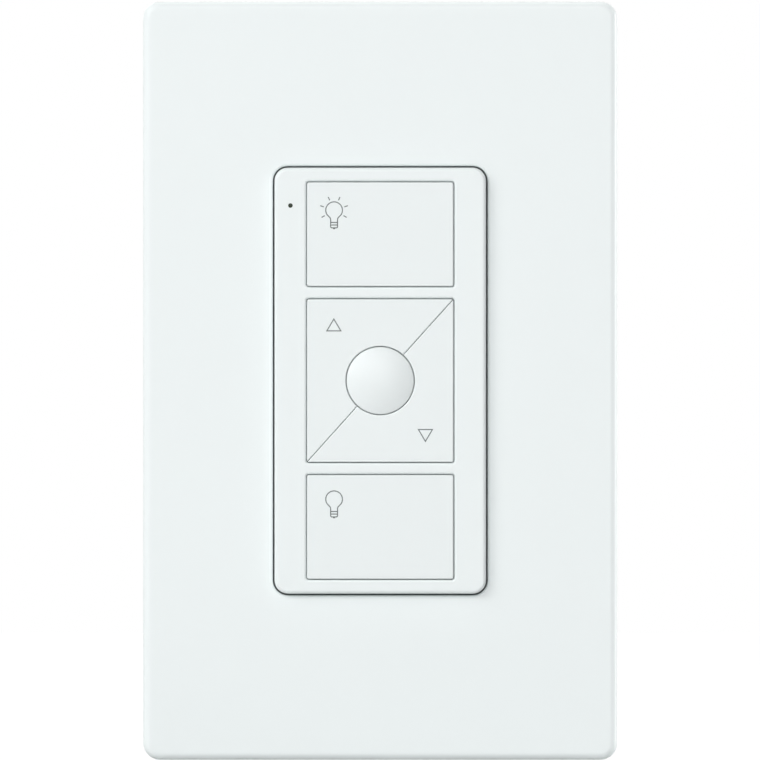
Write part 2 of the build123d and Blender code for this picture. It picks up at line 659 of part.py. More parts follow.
def cover():
    """Snap-on cover: a shallow tray with the keypad's opening and hooks that catch the sub-plate."""
    shell = slab(RectangleRounded(COVER_WIDTH, COVER_HEIGHT, COVER_CORNER_RADIUS), 0, COVER_FRONT)
    shell = fillet(front_edges(shell), COVER_EDGE_RADIUS)
    hollow = RectangleRounded(cover_inside_width, cover_inside_height, COVER_INNER_CORNER_RADIUS)
    shell -= slab(hollow, 0, cover_inside)
    collar = RectangleRounded(
        opening_width + 2 * OPENING_COLLAR,
        opening_height + 2 * OPENING_COLLAR,
        opening_corner_radius + OPENING_COLLAR,
    )
    shell += slab(collar, sub_plate_front + COLLAR_GAP, cover_inside)
    opening = RectangleRounded(opening_width, opening_height, opening_corner_radius)
    shell -= slab(opening, 0, COVER_FRONT)
    shell = chamfer(front_hole_edges(shell), OPENING_EDGE_CHAMFER)
    for side in (-1, 1):
        for z in (-HOOK_SPACING, 0, HOOK_SPACING):
            shell += cover_hook(side, z)
    notch = Rectangle(2 * COVER_SKIRT, PRY_NOTCH_HEIGHT)
    notch_place = Pos(-COVER_HEIGHT / 2 + COVER_SKIRT / 2, PRY_NOTCH_HEIGHT / 2)
    return shell - side_slab(notch_place * notch, 0, PRY_NOTCH_WIDTH)


def cover_hook(side, z):
    """Ramped hook on the skirt's inside that snaps behind the sub-plate's edge."""
    wall = cover_inside_width / 2
    tip = sub_plate_width / 2 - HOOK_BITE
    catch = SUB_PLATE_BACK - HOOK_GAP
    outline = Polyline(
        (side * wall, catch),
        (side * tip, catch),
        (side * wall, catch - HOOK_RAMP),
        close=True,
    )
    return level_slab(make_face(outline), z, HOOK_LENGTH)


nodes = {
    "cover_plate": cover(),
    "sub_plate": sub_plate(),
    "plate_screws": plate_screws(),
    "wall_bracket": wall_bracket(),
    "front_bezel": bezel(),
    "rear_case": rear_case(),
    "battery_door": battery_door(),
    "button_on": end_button("on"),
    "button_raise": raise_button(),
    "button_favourite": round_button(),
    "button_lower": lower_button(),
    "button_off": end_button("off"),
    "light_pipe": light_pipe(),
    "indicator_led": indicator_led(),
    "circuit_board": circuit_board(),
    "controller_chip": controller_chip(),
    "crystal": crystal(),
    "chip_capacitors": chip_capacitors(),
    "coin_cell": coin_cell(),
    "negative_contact": negative_contact(),
    "positive_contact": positive_contact(),
}
for name, place in dome_places.items():
    nodes[f"snap_dome_{name}"] = snap_dome(place)

os.makedirs("parts", exist_ok=True)
for name, shape in nodes.items():
    export_step(shape, f"parts/{name}.step")
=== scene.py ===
"""Lighting keypad in its wall plate: rounded mouldings, printed signs, sprung and plated metal.

Every size is in metres. The front of the object faces -Y, +X is to the right and +Z is up, so a
smaller Y is nearer to the viewer.
"""

import logging
import math
from collections.abc import Callable, Iterator
from contextlib import contextmanager
from dataclasses import dataclass
from enum import Enum
from functools import cache

import bmesh
import bpy
from mathutils import Matrix, Vector


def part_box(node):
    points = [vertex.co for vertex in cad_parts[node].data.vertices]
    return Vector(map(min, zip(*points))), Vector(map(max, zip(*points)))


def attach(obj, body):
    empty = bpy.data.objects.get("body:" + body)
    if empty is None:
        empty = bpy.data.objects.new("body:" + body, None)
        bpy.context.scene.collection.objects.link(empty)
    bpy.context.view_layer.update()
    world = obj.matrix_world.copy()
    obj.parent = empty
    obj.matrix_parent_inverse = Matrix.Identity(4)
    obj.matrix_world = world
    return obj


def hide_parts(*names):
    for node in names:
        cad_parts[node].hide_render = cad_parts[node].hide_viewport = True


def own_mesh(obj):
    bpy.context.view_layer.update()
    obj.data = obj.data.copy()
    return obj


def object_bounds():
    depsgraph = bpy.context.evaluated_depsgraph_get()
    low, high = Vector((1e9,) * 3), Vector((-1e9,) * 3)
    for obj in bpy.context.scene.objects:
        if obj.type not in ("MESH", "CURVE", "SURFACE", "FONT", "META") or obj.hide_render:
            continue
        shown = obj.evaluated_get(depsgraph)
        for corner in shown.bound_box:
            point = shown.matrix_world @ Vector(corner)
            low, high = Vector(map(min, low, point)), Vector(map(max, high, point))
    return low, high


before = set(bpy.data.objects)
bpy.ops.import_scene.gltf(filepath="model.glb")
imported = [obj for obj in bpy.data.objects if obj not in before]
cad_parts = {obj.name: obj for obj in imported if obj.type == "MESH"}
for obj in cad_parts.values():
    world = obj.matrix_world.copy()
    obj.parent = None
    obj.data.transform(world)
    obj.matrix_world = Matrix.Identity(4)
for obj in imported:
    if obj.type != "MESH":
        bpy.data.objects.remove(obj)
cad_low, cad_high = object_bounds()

LOG = logging.getLogger("keypad")
MM = 0.001
# Gap that counts as touching, and the part of a normal that counts as facing one way
TOUCH = 0.002 * MM
FACING = 0.9
# Steps in a full turn, and across the roundings of plain blocks
ROUND_STEPS = 96
FINE_STEPS = 48
CORNER_STEPS = 8
EDGE_STEPS = 3
LEDGE_STEPS = 2
NOISE_MEAN = 0.5
BUMP_STRENGTH = 0.5
WHITE = (1.0, 1.0, 1.0, 1.0)
FLOAT, COLOUR = "NodeSocketFloat", "NodeSocketColor"

Piece = bpy.types.Object
Edge = bmesh.types.BMEdge
Face = bmesh.types.BMFace
Socket = bpy.types.NodeSocket
Colour = tuple[float, float, float]
Place = tuple[float, float]


class Body(Enum):
    """Bodies of the mechanism that a piece can ride on."""

    FIXED = "fixed_parts"
    ON = "on_cap"
    RAISE = "raise_cap"
    FAVOURITE = "favourite_cap"
    LOWER = "lower_cap"
    OFF = "off_cap"


class Joinery(Enum):
    """Ways to combine a piece with a shaping tool."""

    CUT = "DIFFERENCE"
    JOIN = "UNION"


class Element(Enum):
    """Parts of a mesh that can be picked, with the name of their list."""

    EDGE = "edges"
    FACE = "faces"


class Mix(Enum):
    """What a mix node blends, with the places of its two inputs and of its result."""

    VALUE = ("FLOAT", 2, 3, 0)
    COLOUR = ("RGBA", 6, 7, 2)


class Sign(Enum):
    """Signs printed on the caps."""

    LIT_BULB = "lit_bulb"
    BARE_BULB = "bare_bulb"
    UP = "up"
    DOWN = "down"


SIGN_PLACES: dict[Sign, tuple[Body, Place]] = {
    Sign.LIT_BULB: (Body.ON, (-7.26 * MM, 26.80 * MM)),
    Sign.UP: (Body.RAISE, (-7.30 * MM, 8.80 * MM)),
    Sign.DOWN: (Body.LOWER, (7.10 * MM, -8.66 * MM)),
    Sign.BARE_BULB: (Body.OFF, (-7.26 * MM, -18.65 * MM)),
}


def select_only(piece: Piece) -> None:
    """Make one piece the only selected and the active one.

    Args:
        piece: The piece to select.
    """
    bpy.ops.object.select_all(action="DESELECT")
    piece.select_set(True)
    bpy.context.view_layer.objects.active = piece


@contextmanager
def editing(piece: Piece) -> Iterator[None]:
    """Open one piece in edit mode, and close it again.

    Args:
        piece: The piece to edit.

    Yields:
        Nothing, while the piece is open.
    """
    select_only(piece)
    bpy.ops.object.mode_set(mode="EDIT")
    yield
    bpy.ops.object.mode_set(mode="OBJECT")


def settle(piece: Piece, name: str) -> Piece:
    """Name a new primitive and move its place, turn and scale into its mesh.

    Args:
        piece: The primitive that was just added.
        name: Its name from now on.

    Returns:
        The same piece, at the origin.
    """
    piece.name = name
    piece.data.name = name
    select_only(piece)
    bpy.ops.object.transform_apply(location=True, rotation=True, scale=True)
    return piece


def middle_of(node: str) -> Vector:
    """Return the middle of a node's box."""
    return sum(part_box(node), Vector()) / 2


def box_round(*nodes: str) -> tuple[Vector, Vector]:
    """Find the box round several nodes.

    Args:
        nodes: Names of the nodes.

    Returns:
        Its lowest and its highest corner.
    """
    lows, highs = zip(*(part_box(node) for node in nodes))
    return Vector(map(min, zip(*lows))), Vector(map(max, zip(*highs)))


def around(width: float) -> Vector:
    """Return a step of one width to the right and up."""
    return Vector((width, 0, width))


def block(name: str, low: Vector, high: Vector) -> Piece:
    """Start a piece as a cube stretched between two corners.

    Args:
        name: Name of the piece.
        low: Corner with the lowest coordinates.
        high: Corner with the highest coordinates.

    Returns:
        The new piece.
    """
    bpy.ops.object.select_all(action="DESELECT")
    bpy.ops.mesh.primitive_cube_add(size=1, location=(low + high) / 2)
    piece = bpy.context.object
    piece.scale = high - low
    return settle(piece, name)


def side_block(name: str, side: int, x: Place, y: Place, z: Place) -> Piece:
    """Start a block on the right or the left of the object.

    Args:
        name: Name of the piece.
        side: The side it is on: 1 is right and -1 is left.
        x: Where it starts and ends, from the middle outwards.
        y: Its front and its back.
        z: Its bottom and its top.

    Returns:
        The new piece.
    """
    left, right = sorted(side * reach for reach in x)
    return block(name, Vector((left, y[0], z[0])), Vector((right, y[1], z[1])))


def rod(
    name: str, place: Place, radius: float, front: float, back: float, sides: int = FINE_STEPS
) -> Piece:
    """Start a piece as a cylinder that runs from front to back.

    Args:
        name: Name of the piece.
        place: X and Z of its axis.
        radius: Its radius.
        front: Y of its front end.
        back: Y of its back end.
        sides: Number of sides.

    Returns:
        The new piece.
    """
    bpy.ops.object.select_all(action="DESELECT")
    bpy.ops.mesh.primitive_cylinder_add(
        vertices=sides,
        radius=radius,
        depth=back - front,
        location=(place[0], (front + back) / 2, place[1]),
        rotation=(math.pi / 2, 0, 0),
    )
    return settle(bpy.context.object, name)


def pick(piece: Piece, what: Element, test: Callable[[Edge | Face], bool]) -> None:
    """Select, in edit mode, only the edges or the faces that pass a test.

    Args:
        piece: The piece that is being edited.
        what: Whether edges or faces are picked.
        test: Says whether one is wanted, by its place or its normal.
    """
    bpy.ops.mesh.select_mode(type=what.name)
    bpy.ops.mesh.select_all(action="DESELECT")
    mesh = bmesh.from_edit_mesh(piece.data)
    for element in getattr(mesh, what.value):
        if test(element):
            element.select_set(True)
    bmesh.update_edit_mesh(piece.data)


def runs_back(edge: Edge) -> bool:
    """Say whether an edge runs straight from front to back."""
    a, b = (vertex.co for vertex in edge.verts)
    return abs(a.x - b.x) < TOUCH and abs(a.z - b.z) < TOUCH


def rims_front(edge: Edge, front: float) -> bool:
    """Say whether an edge parts a piece's front face from a side wall.

    Args:
        edge: The edge.
        front: Y of the front face.

    Returns:
        Whether it lies on that plane and only one of its faces looks forward.
    """
    if any(abs(vertex.co.y - front) > TOUCH for vertex in edge.verts):
        return False
    facing = [face.normal.y < -FACING for face in edge.link_faces]
    return any(facing) and not all(facing)


def cut_across(point: Vector, normal: Vector, drop: bool = False) -> None:
    """Bisect the whole piece that is being edited by a plane.

    Args:
        point: A point on the plane.
        normal: The plane's normal.
        drop: Whether the side that the normal points at is removed and the cut closed.
    """
    bpy.ops.mesh.select_all(action="SELECT")
    bpy.ops.mesh.bisect(
        plane_co=point, plane_no=normal, use_fill=drop, clear_outer=drop, threshold=TOUCH / 10
    )


def apply_modifiers(piece: Piece) -> None:
    """Apply every modifier of a piece, in order.

    Args:
        piece: The piece.
    """
    select_only(piece)
    for modifier in list(piece.modifiers):
        bpy.ops.object.modifier_apply(modifier=modifier.name)


def combine(piece: Piece, tool: Piece, how: Joinery) -> None:
    """Cut a tool from a piece, or join it on, and take the tool away.

    Args:
        piece: The piece that is shaped.
        tool: The shape that is cut away or joined on.
        how: Which of the two it is.
    """
    modifier = piece.modifiers.new("combine", "BOOLEAN")
    modifier.object = tool
    modifier.operation = how.value
    modifier.solver = "EXACT"
    apply_modifiers(piece)
    bpy.data.objects.remove(tool)


def close_shell(piece: Piece) -> None:
    """Merge doubled points of a piece, take out slivers and turn its faces outwards.

    Args:
        piece: The piece.
    """
    with editing(piece):
        bpy.ops.mesh.select_all(action="SELECT")
        bpy.ops.mesh.remove_doubles(threshold=TOUCH)
        bpy.ops.mesh.dissolve_degenerate(threshold=TOUCH)
        bpy.ops.mesh.normals_make_consistent(inside=False)


def soften(piece: Piece, angle: float = 40.0) -> None:
    """Close a finished piece, and shade it smooth over its roundings and flat on its flat faces.

    Args:
        piece: The finished piece.
        angle: Edges sharper than this, in degrees, stay sharp.
    """
    close_shell(piece)
    select_only(piece)
    bpy.ops.object.shade_smooth_by_angle(angle=math.radians(angle))
    modifier = piece.modifiers.new("flat faces", "WEIGHTED_NORMAL")
    modifier.keep_sharp = True
    apply_modifiers(piece)


def soft_block(name: str, low: Vector, high: Vector, edge: float) -> Piece:
    """Make a block whose edges are all slightly rounded.

    Args:
        name: Name of the block.
        low: Its lowest corner.
        high: Its highest corner.
        edge: Radius of its edges.

    Returns:
        The block.
    """
    piece = block(name, low, high)
    with editing(piece):
        bpy.ops.mesh.select_all(action="SELECT")
        bpy.ops.mesh.bevel(offset=edge, segments=EDGE_STEPS, affect="EDGES")
    return piece


def copy_by(piece: Piece, move: Matrix) -> Piece:
    """Copy a piece with its own mesh, and move the copy.

    Args:
        piece: The piece to copy.
        move: The copy's move from the piece's place.

    Returns:
        The copy, at the origin.
    """
    select_only(piece)
    bpy.ops.object.duplicate()
    copy = bpy.context.object
    copy.matrix_world = move
    return settle(copy, piece.name)


def gather(name: str, parts: list[Piece]) -> Piece:
    """Join several parts into one piece.

    Args:
        name: Name of the piece.
        parts: The parts that it is made of.

    Returns:
        The joined piece.
    """
    select_only(parts[0])
    for part in parts:
        part.select_set(True)
    bpy.ops.object.join()
    return settle(parts[0], name)


def repeat(name: str, part: Piece, moves: list[Matrix]) -> Piece:
    """Copy a part to other places, and join it and its copies.

    Args:
        name: Name of the joined piece.
        part: The part, in its first place.
        moves: The move of each copy from there.

    Returns:
        The joined piece.
    """
    return gather(name, [part, *(copy_by(part, move) for move in moves)])


def stepped_block(
    name: str, low: Vector, high: Vector, base: float, step: float, edge: float
) -> Piece:
    """Make a block in two steps, the narrow one behind the wide one or in front of it.

    Args:
        name: Name of the block.
        low: Its lowest corner.
        high: Its highest corner.
        base: Thickness of the wide step, which is negative where it lies at the back.
        step: Width of the ledge round the narrow step.
        edge: Radius of its edges.

    Returns:
        The stepped block.
    """
    facing = math.copysign(1.0, base)
    rest = high.y - low.y - abs(base)
    near, far = low.copy(), high.copy()
    if facing > 0:
        far.y = low.y + base
    else:
        near.y = high.y + base
    piece = block(name, near, far)
    with editing(piece):
        pick(piece, Element.FACE, lambda face: face.normal.y * facing > FACING)
        bpy.ops.mesh.inset(thickness=step)
        bpy.ops.mesh.extrude_region_move(TRANSFORM_OT_translate={"value": (0, facing * rest, 0)})
        bpy.ops.mesh.select_all(action="SELECT")
        bpy.ops.mesh.bevel(offset=edge, segments=LEDGE_STEPS, affect="EDGES")
    return piece


def rounded_block(name: str, low: Vector, high: Vector, corner: float) -> Piece:
    """Make a block whose edges from front to back are rounded.

    Args:
        name: Name of the block.
        low: Its lowest corner.
        high: Its highest corner.
        corner: Radius of its four corners, seen from the front.

    Returns:
        The block.
    """
    piece = block(name, low, high)
    with editing(piece):
        pick(piece, Element.EDGE, runs_back)
        bpy.ops.mesh.bevel(offset=corner, segments=CORNER_STEPS, affect="EDGES")
    return piece


def round_front(
    piece: Piece, front: float, radius: float, segments: int, within: Vector | None = None
) -> None:
    """Round the edges of a piece's front face.

    Args:
        piece: The piece.
        front: Y of its front face.
        radius: Radius of the rounding.
        segments: Number of steps across the rounding.
        within: Where given, only edges nearer to the axis than its X and Z are rounded.
    """
    reach = within or Vector((math.inf, 0, math.inf))
    with editing(piece):
        pick(
            piece,
            Element.EDGE,
            lambda edge: rims_front(edge, front)
            and all(abs(v.co.x) < reach.x and abs(v.co.z) < reach.z for v in edge.verts),
        )
        bpy.ops.mesh.bevel(offset=radius, segments=segments, affect="EDGES", loop_slide=False)


def drawn_line(name: str, profile: list[Place], place: Place) -> Piece:
    """Draw a profile as a line of edges beside an axis that runs from front to back.

    Args:
        name: Name of the line.
        profile: Points of the profile as radius and Y.
        place: X and Z of the axis.

    Returns:
        The line.
    """
    points = [Vector((place[0] + radius, y, place[1])) for radius, y in profile]
    bpy.ops.object.select_all(action="DESELECT")
    bpy.ops.mesh.primitive_plane_add(size=MM, location=points[0])
    line = settle(bpy.context.object, name)
    with editing(line):
        bpy.ops.mesh.select_mode(type="VERT")
        bpy.ops.mesh.select_all(action="SELECT")
        bpy.ops.mesh.merge(type="CENTER")
        for start, end in zip(points, points[1:]):
            bpy.ops.mesh.extrude_region_move(TRANSFORM_OT_translate={"value": end - start})
    return line


def turned(name: str, profile: list[Place], place: Place, steps: int = ROUND_STEPS) -> Piece:
    """Turn a profile about an axis that runs from front to back.

    Args:
        name: Name of the piece.
        profile: Points of the profile as radius and Y.
        place: X and Z of the axis.
        steps: Number of steps in a full turn.

    Returns:
        The turned piece, closed and facing outwards.
    """
    piece = drawn_line(name, profile, place)
    with editing(piece):
        bpy.ops.mesh.select_all(action="SELECT")
        bpy.ops.mesh.spin(steps=steps, angle=math.tau, center=(place[0], 0, place[1]), axis=(0, 1, 0))
    close_shell(piece)
    return piece


def quarter(radius: float, centre: Place, start: float, steps: int = 4) -> list[Place]:
    """Return the points of a quarter circle for a profile.

    Args:
        radius: Radius of the circle.
        centre: Its centre as radius and Y of the profile.
        start: Angle of its first point in degrees; a quarter turn is added.
        steps: Number of steps.

    Returns:
        The points as radius and Y.
    """
    angles = [math.radians(start) + math.pi / 2 * i / steps for i in range(steps + 1)]
    return [(centre[0] + radius * math.cos(a), centre[1] + radius * math.sin(a)) for a in angles]


class NodeSheet:
    """A node tree, with short ways to add nodes and join their sockets."""

    def __init__(self, tree: bpy.types.NodeTree) -> None:
        """Keep the tree to work on."""
        self.tree = tree

    def add(self, kind: str, inputs: dict[str, object] | None = None, **settings: object) -> bpy.types.Node:
        """Add a node.

        Args:
            kind: Blender's name of the node's type.
            inputs: Values of its input sockets, by name.
            settings: Values of its own properties.

        Returns:
            The new node.
        """
        node = self.tree.nodes.new(kind)
        for name, value in settings.items():
            setattr(node, name, value)
        for name, value in (inputs or {}).items():
            node.inputs[name].default_value = value
        return node

    def join(self, source: Socket, target: Socket) -> None:
        """Link an output socket to an input socket."""
        self.tree.links.new(source, target)

    def feed(self, value: object, target: Socket) -> None:
        """Give an input socket a value, or link it to the socket that gives one.

        Args:
            value: The value, or an output socket.
            target: The input socket.
        """
        if isinstance(value, Socket):
            self.join(value, target)
        else:
            target.default_value = value

    def sum(self, how: str, first: Socket | float, second: Socket | float) -> Socket:
        """Add a sum of two values.

        Args:
            how: Blender's name of the operation.
            first: The first value, or the socket that gives it.
            second: The second value, or the socket that gives it.

        Returns:
            The socket with the result.
        """
        node = self.add("ShaderNodeMath", operation=how)
        for socket, value in zip(node.inputs, (first, second)):
            self.feed(value, socket)
        return node.outputs[0]

    def mix(self, what: Mix, share: Socket, first: object, second: object) -> Socket:
        """Add a blend of two values or colours.

        Args:
            what: Which of the two it blends.
            share: The socket that gives the second one's share.
            first: The first value or colour, or the socket that gives it.
            second: The second value or colour, or the socket that gives it.

        Returns:
            The socket with the result.
        """
        kind, first_input, second_input, result = what.value
        node = self.add("ShaderNodeMix", data_type=kind)
        self.join(share, node.inputs[0])
        self.feed(first, node.inputs[first_input])
        self.feed(second, node.inputs[second_input])
        return node.outputs[result]


class SurfaceGroup(NodeSheet):
    """A shader node group that gives a surface its colour, roughness and relief."""

    def __init__(self, name: str, *settings: str) -> None:
        """Start the group.

        Args:
            name: Name of the group.
            settings: Names of its number inputs, beside Tone and Gloss.
        """
        super().__init__(bpy.data.node_groups.new(name, "ShaderNodeTree"))
        sockets = [("Tone", "INPUT", COLOUR), ("Gloss", "INPUT", FLOAT)]
        sockets += [(setting, "INPUT", FLOAT) for setting in settings]
        sockets += [("Color", "OUTPUT", COLOUR), ("Roughness", "OUTPUT", FLOAT), ("Height", "OUTPUT", FLOAT)]
        for socket, way, kind in sockets:
            self.tree.interface.new_socket(name=socket, in_out=way, socket_type=kind)
        self.given = self.add("NodeGroupInput").outputs
        self.result = self.add("NodeGroupOutput").inputs
        self.place = self.add("ShaderNodeTexCoord").outputs["Object"]

    def noise(self, place: Socket, scale: Socket | float, detail: float) -> Socket:
        """Add a noise.

        Args:
            place: Where it is read.
            scale: Its scale, or the socket that gives it.
            detail: How many finer layers it has.

        Returns:
            The socket with its value.
        """
        texture = self.add("ShaderNodeTexNoise", {"Detail": detail})
        self.join(place, texture.inputs["Vector"])
        self.feed(scale, texture.inputs["Scale"])
        return texture.outputs["Fac"]

    def put_out(self, shade: Socket, relief: Socket, spread: float) -> bpy.types.NodeTree:
        """Join the group's textures to its outputs.

        Args:
            shade: What the tone is multiplied by.
            relief: The fine texture that gives the height.
            spread: How far the roughness follows that texture.

        Returns:
            The finished group.
        """
        tint = self.add("ShaderNodeVectorMath", operation="SCALE")
        self.join(self.given["Tone"], tint.inputs[0])
        self.join(shade, tint.inputs["Scale"])
        self.join(tint.outputs[0], self.result["Color"])
        swing = self.sum("MULTIPLY", self.sum("SUBTRACT", relief, NOISE_MEAN), spread)
        self.join(self.sum("ADD", self.given["Gloss"], swing), self.result["Roughness"])
        self.join(relief, self.result["Height"])
        return self.tree


@cache
def moulded_grain() -> bpy.types.NodeTree:
    """Group for moulded plastic: a slow drift of tone and the fine grain of the mould.

    Returns:
        The node group, built once.
    """
    drift_scale, drift_detail, grain_detail, grain_roughness, gloss_spread = 30.0, 2.0, 2.0, 0.6, 0.12
    group = SurfaceGroup("moulded_grain", "Drift", "Grain")
    slow = group.noise(group.place, drift_scale, drift_detail)
    fine = group.noise(group.place, group.sum("DIVIDE", 1.0, group.given["Grain"]), grain_detail)
    fine.node.inputs["Roughness"].default_value = grain_roughness
    swing = group.sum("MULTIPLY", group.sum("SUBTRACT", slow, NOISE_MEAN), group.given["Drift"])
    return group.put_out(group.sum("ADD", 1.0, swing), fine, gloss_spread)


@cache
def drawn_metal() -> bpy.types.NodeTree:
    """Group for sheet metal: fine lines along one direction, and slow stains of tone.

    Returns:
        The node group, built once.
    """
    line_stretch, stain_scale, detail = (1.0, 1.0, 0.04), 250.0, 3.0
    darkest, stain_depth, gloss_spread = 0.85, 0.3, 0.3
    group = SurfaceGroup("drawn_metal", "Line")
    stretch = group.add("ShaderNodeMapping", {"Scale": line_stretch})
    group.join(group.place, stretch.inputs["Vector"])
    lines = group.noise(stretch.outputs["Vector"], group.sum("DIVIDE", 1.0, group.given["Line"]), detail)
    stain = group.noise(group.place, stain_scale, detail)
    shade = group.sum("ADD", darkest, group.sum("MULTIPLY", stain, stain_depth))
    return group.put_out(shade, lines, gloss_spread)


@dataclass(frozen=True)
class Finish:
    """A finish that becomes a material the first time it is asked for."""

    name: str
    tone: Colour
    gloss: float

    def material(self) -> bpy.types.Material:
        """Make this finish's material, once.

        Returns:
            The material.
        """
        known = bpy.data.materials.get(self.name)
        if known:
            return known
        material = bpy.data.materials.new(self.name)
        material.use_nodes = True
        self.paint(NodeSheet(material.node_tree))
        return material

    def paint(self, sheet: NodeSheet) -> None:
        """Wire the nodes of the finish."""
        raise NotImplementedError

    def shader(self, sheet: NodeSheet) -> bpy.types.Node:
        """Return the sheet's own shader node."""
        return sheet.tree.nodes["Principled BSDF"]

    def place_group(
        self, sheet: NodeSheet, group: bpy.types.NodeTree, values: dict[str, float], relief: float
    ) -> bpy.types.Node:
        """Place a surface group and join it to the shader.

        Args:
            sheet: Sheet of the material.
            group: The surface group, with Color, Roughness and Height outputs.
            values: Values of its inputs other than Tone and Gloss.
            relief: Depth of its relief.

        Returns:
            The placed group.
        """
        settings = {"Tone": (*self.tone, 1.0), "Gloss": self.gloss, **values}
        placed = sheet.add("ShaderNodeGroup", settings, node_tree=group)
        shader = self.shader(sheet)
        bump = sheet.add("ShaderNodeBump", {"Strength": BUMP_STRENGTH, "Distance": relief})
        sheet.join(placed.outputs["Color"], shader.inputs["Base Color"])
        sheet.join(placed.outputs["Roughness"], shader.inputs["Roughness"])
        sheet.join(placed.outputs["Height"], bump.inputs["Height"])
        sheet.join(bump.outputs["Normal"], shader.inputs["Normal"])
        return placed


@dataclass(frozen=True)
class Grained(Finish):
    """A finish with an uneven tone and a fine grain."""

    grain: float = 0.08 * MM
    relief: float = 0.001 * MM
    drift: float = 0.08

    def paint(self, sheet: NodeSheet) -> None:
        """Wire the grain to the shader."""
        self.place_grain(sheet)

    def place_grain(self, sheet: NodeSheet) -> bpy.types.Node:
        """Place the grain's group and return it."""
        values = {"Grain": self.grain, "Drift": self.drift}
        return self.place_group(sheet, moulded_grain(), values, self.relief)


@dataclass(frozen=True)
class PrintInk(Grained):
    """Pad-printed ink with a soft, slightly uneven cover."""


@dataclass(frozen=True)
class MouldedPlastic(Grained):
    """Satin plastic with the fine grain of its mould."""

    grain: float = 0.16 * MM
    relief: float = 0.002 * MM
    drift: float = 0.012
    refraction: float = 1.46

    def paint(self, sheet: NodeSheet) -> None:
        """Wire the mould's grain to a satin shader."""
        self.place_grain(sheet)
        self.shader(sheet).inputs["IOR"].default_value = self.refraction


@dataclass(frozen=True)
class SmokedLens(Grained):
    """Smooth plastic with a low sheen, dark or clear."""

    grain: float = 0.3 * MM
    relief: float = 0.0005 * MM
    drift: float = 0.1
    sheen: float = 0.3

    def paint(self, sheet: NodeSheet) -> None:
        """Wire a smooth shader with a low sheen."""
        self.place_grain(sheet)
        self.shader(sheet).inputs["Specular IOR Level"].default_value = self.sheen


@dataclass(frozen=True)
class DrawnMetal(Finish):
    """Plated or bare sheet metal with the lines of its rolling."""

    line: float = 0.08 * MM
    relief: float = 0.001 * MM

    def paint(self, sheet: NodeSheet) -> None:
        """Wire the rolling lines to a metal shader."""
        self.place_group(sheet, drawn_metal(), {"Line": self.line}, self.relief)
        self.shader(sheet).inputs["Metallic"].default_value = 1.0


@dataclass(frozen=True)
class BoardLacquer(Grained):
    """Solder lacquer over patches of parallel copper tracks."""

    grain: float = 0.4 * MM
    relief: float = 0.004 * MM
    drift: float = 0.2
    track_tone: Colour = (0.05, 0.30, 0.13)
    patch: float = 7.0 * MM
    patch_disorder: float = 0.9
    pitch: float = 0.6 * MM
    track: float = 0.4
    level_share: float = 0.5
    bare: float = 0.3

    def paint(self, sheet: NodeSheet) -> None:
        """Wire patches of upright and level tracks into the lacquer's grain.

        Args:
            sheet: Sheet of the material.
        """
        placed = self.place_grain(sheet)
        place = sheet.add("ShaderNodeTexCoord").outputs["Object"]
        flat = sheet.add("ShaderNodeMapping", {"Rotation": (math.pi / 2, 0, 0)})
        patch = sheet.add(
            "ShaderNodeTexVoronoi",
            {"Scale": 1.0 / self.patch, "Randomness": self.patch_disorder},
            voronoi_dimensions="2D",
            distance="CHEBYCHEV",
        )
        chance = sheet.add("ShaderNodeSeparateColor")
        axes = sheet.add("ShaderNodeSeparateXYZ")
        sheet.join(place, flat.inputs["Vector"])
        sheet.join(flat.outputs["Vector"], patch.inputs["Vector"])
        sheet.join(patch.outputs["Color"], chance.inputs["Color"])
        sheet.join(place, axes.inputs["Vector"])
        upright = sheet.sum("GREATER_THAN", chance.outputs["Red"], self.level_share)
        level, standing = (self.tracks(sheet, axes.outputs[axis]) for axis in ("Z", "X"))
        runs = sheet.mix(Mix.VALUE, upright, level, standing)
        routed = sheet.sum("GREATER_THAN", chance.outputs["Green"], self.bare)
        copper = sheet.sum("MULTIPLY", runs, routed)
        lacquer = sheet.mix(Mix.COLOUR, copper, placed.outputs["Color"], (*self.track_tone, 1.0))
        sheet.join(lacquer, self.shader(sheet).inputs["Base Color"])

    def tracks(self, sheet: NodeSheet, axis: Socket) -> Socket:
        """Return a mask of even tracks that follow each other along one axis."""
        turn = sheet.sum("FRACT", sheet.sum("MULTIPLY", axis, 1.0 / self.pitch), 0.0)
        return sheet.sum("LESS_THAN", turn, self.track)


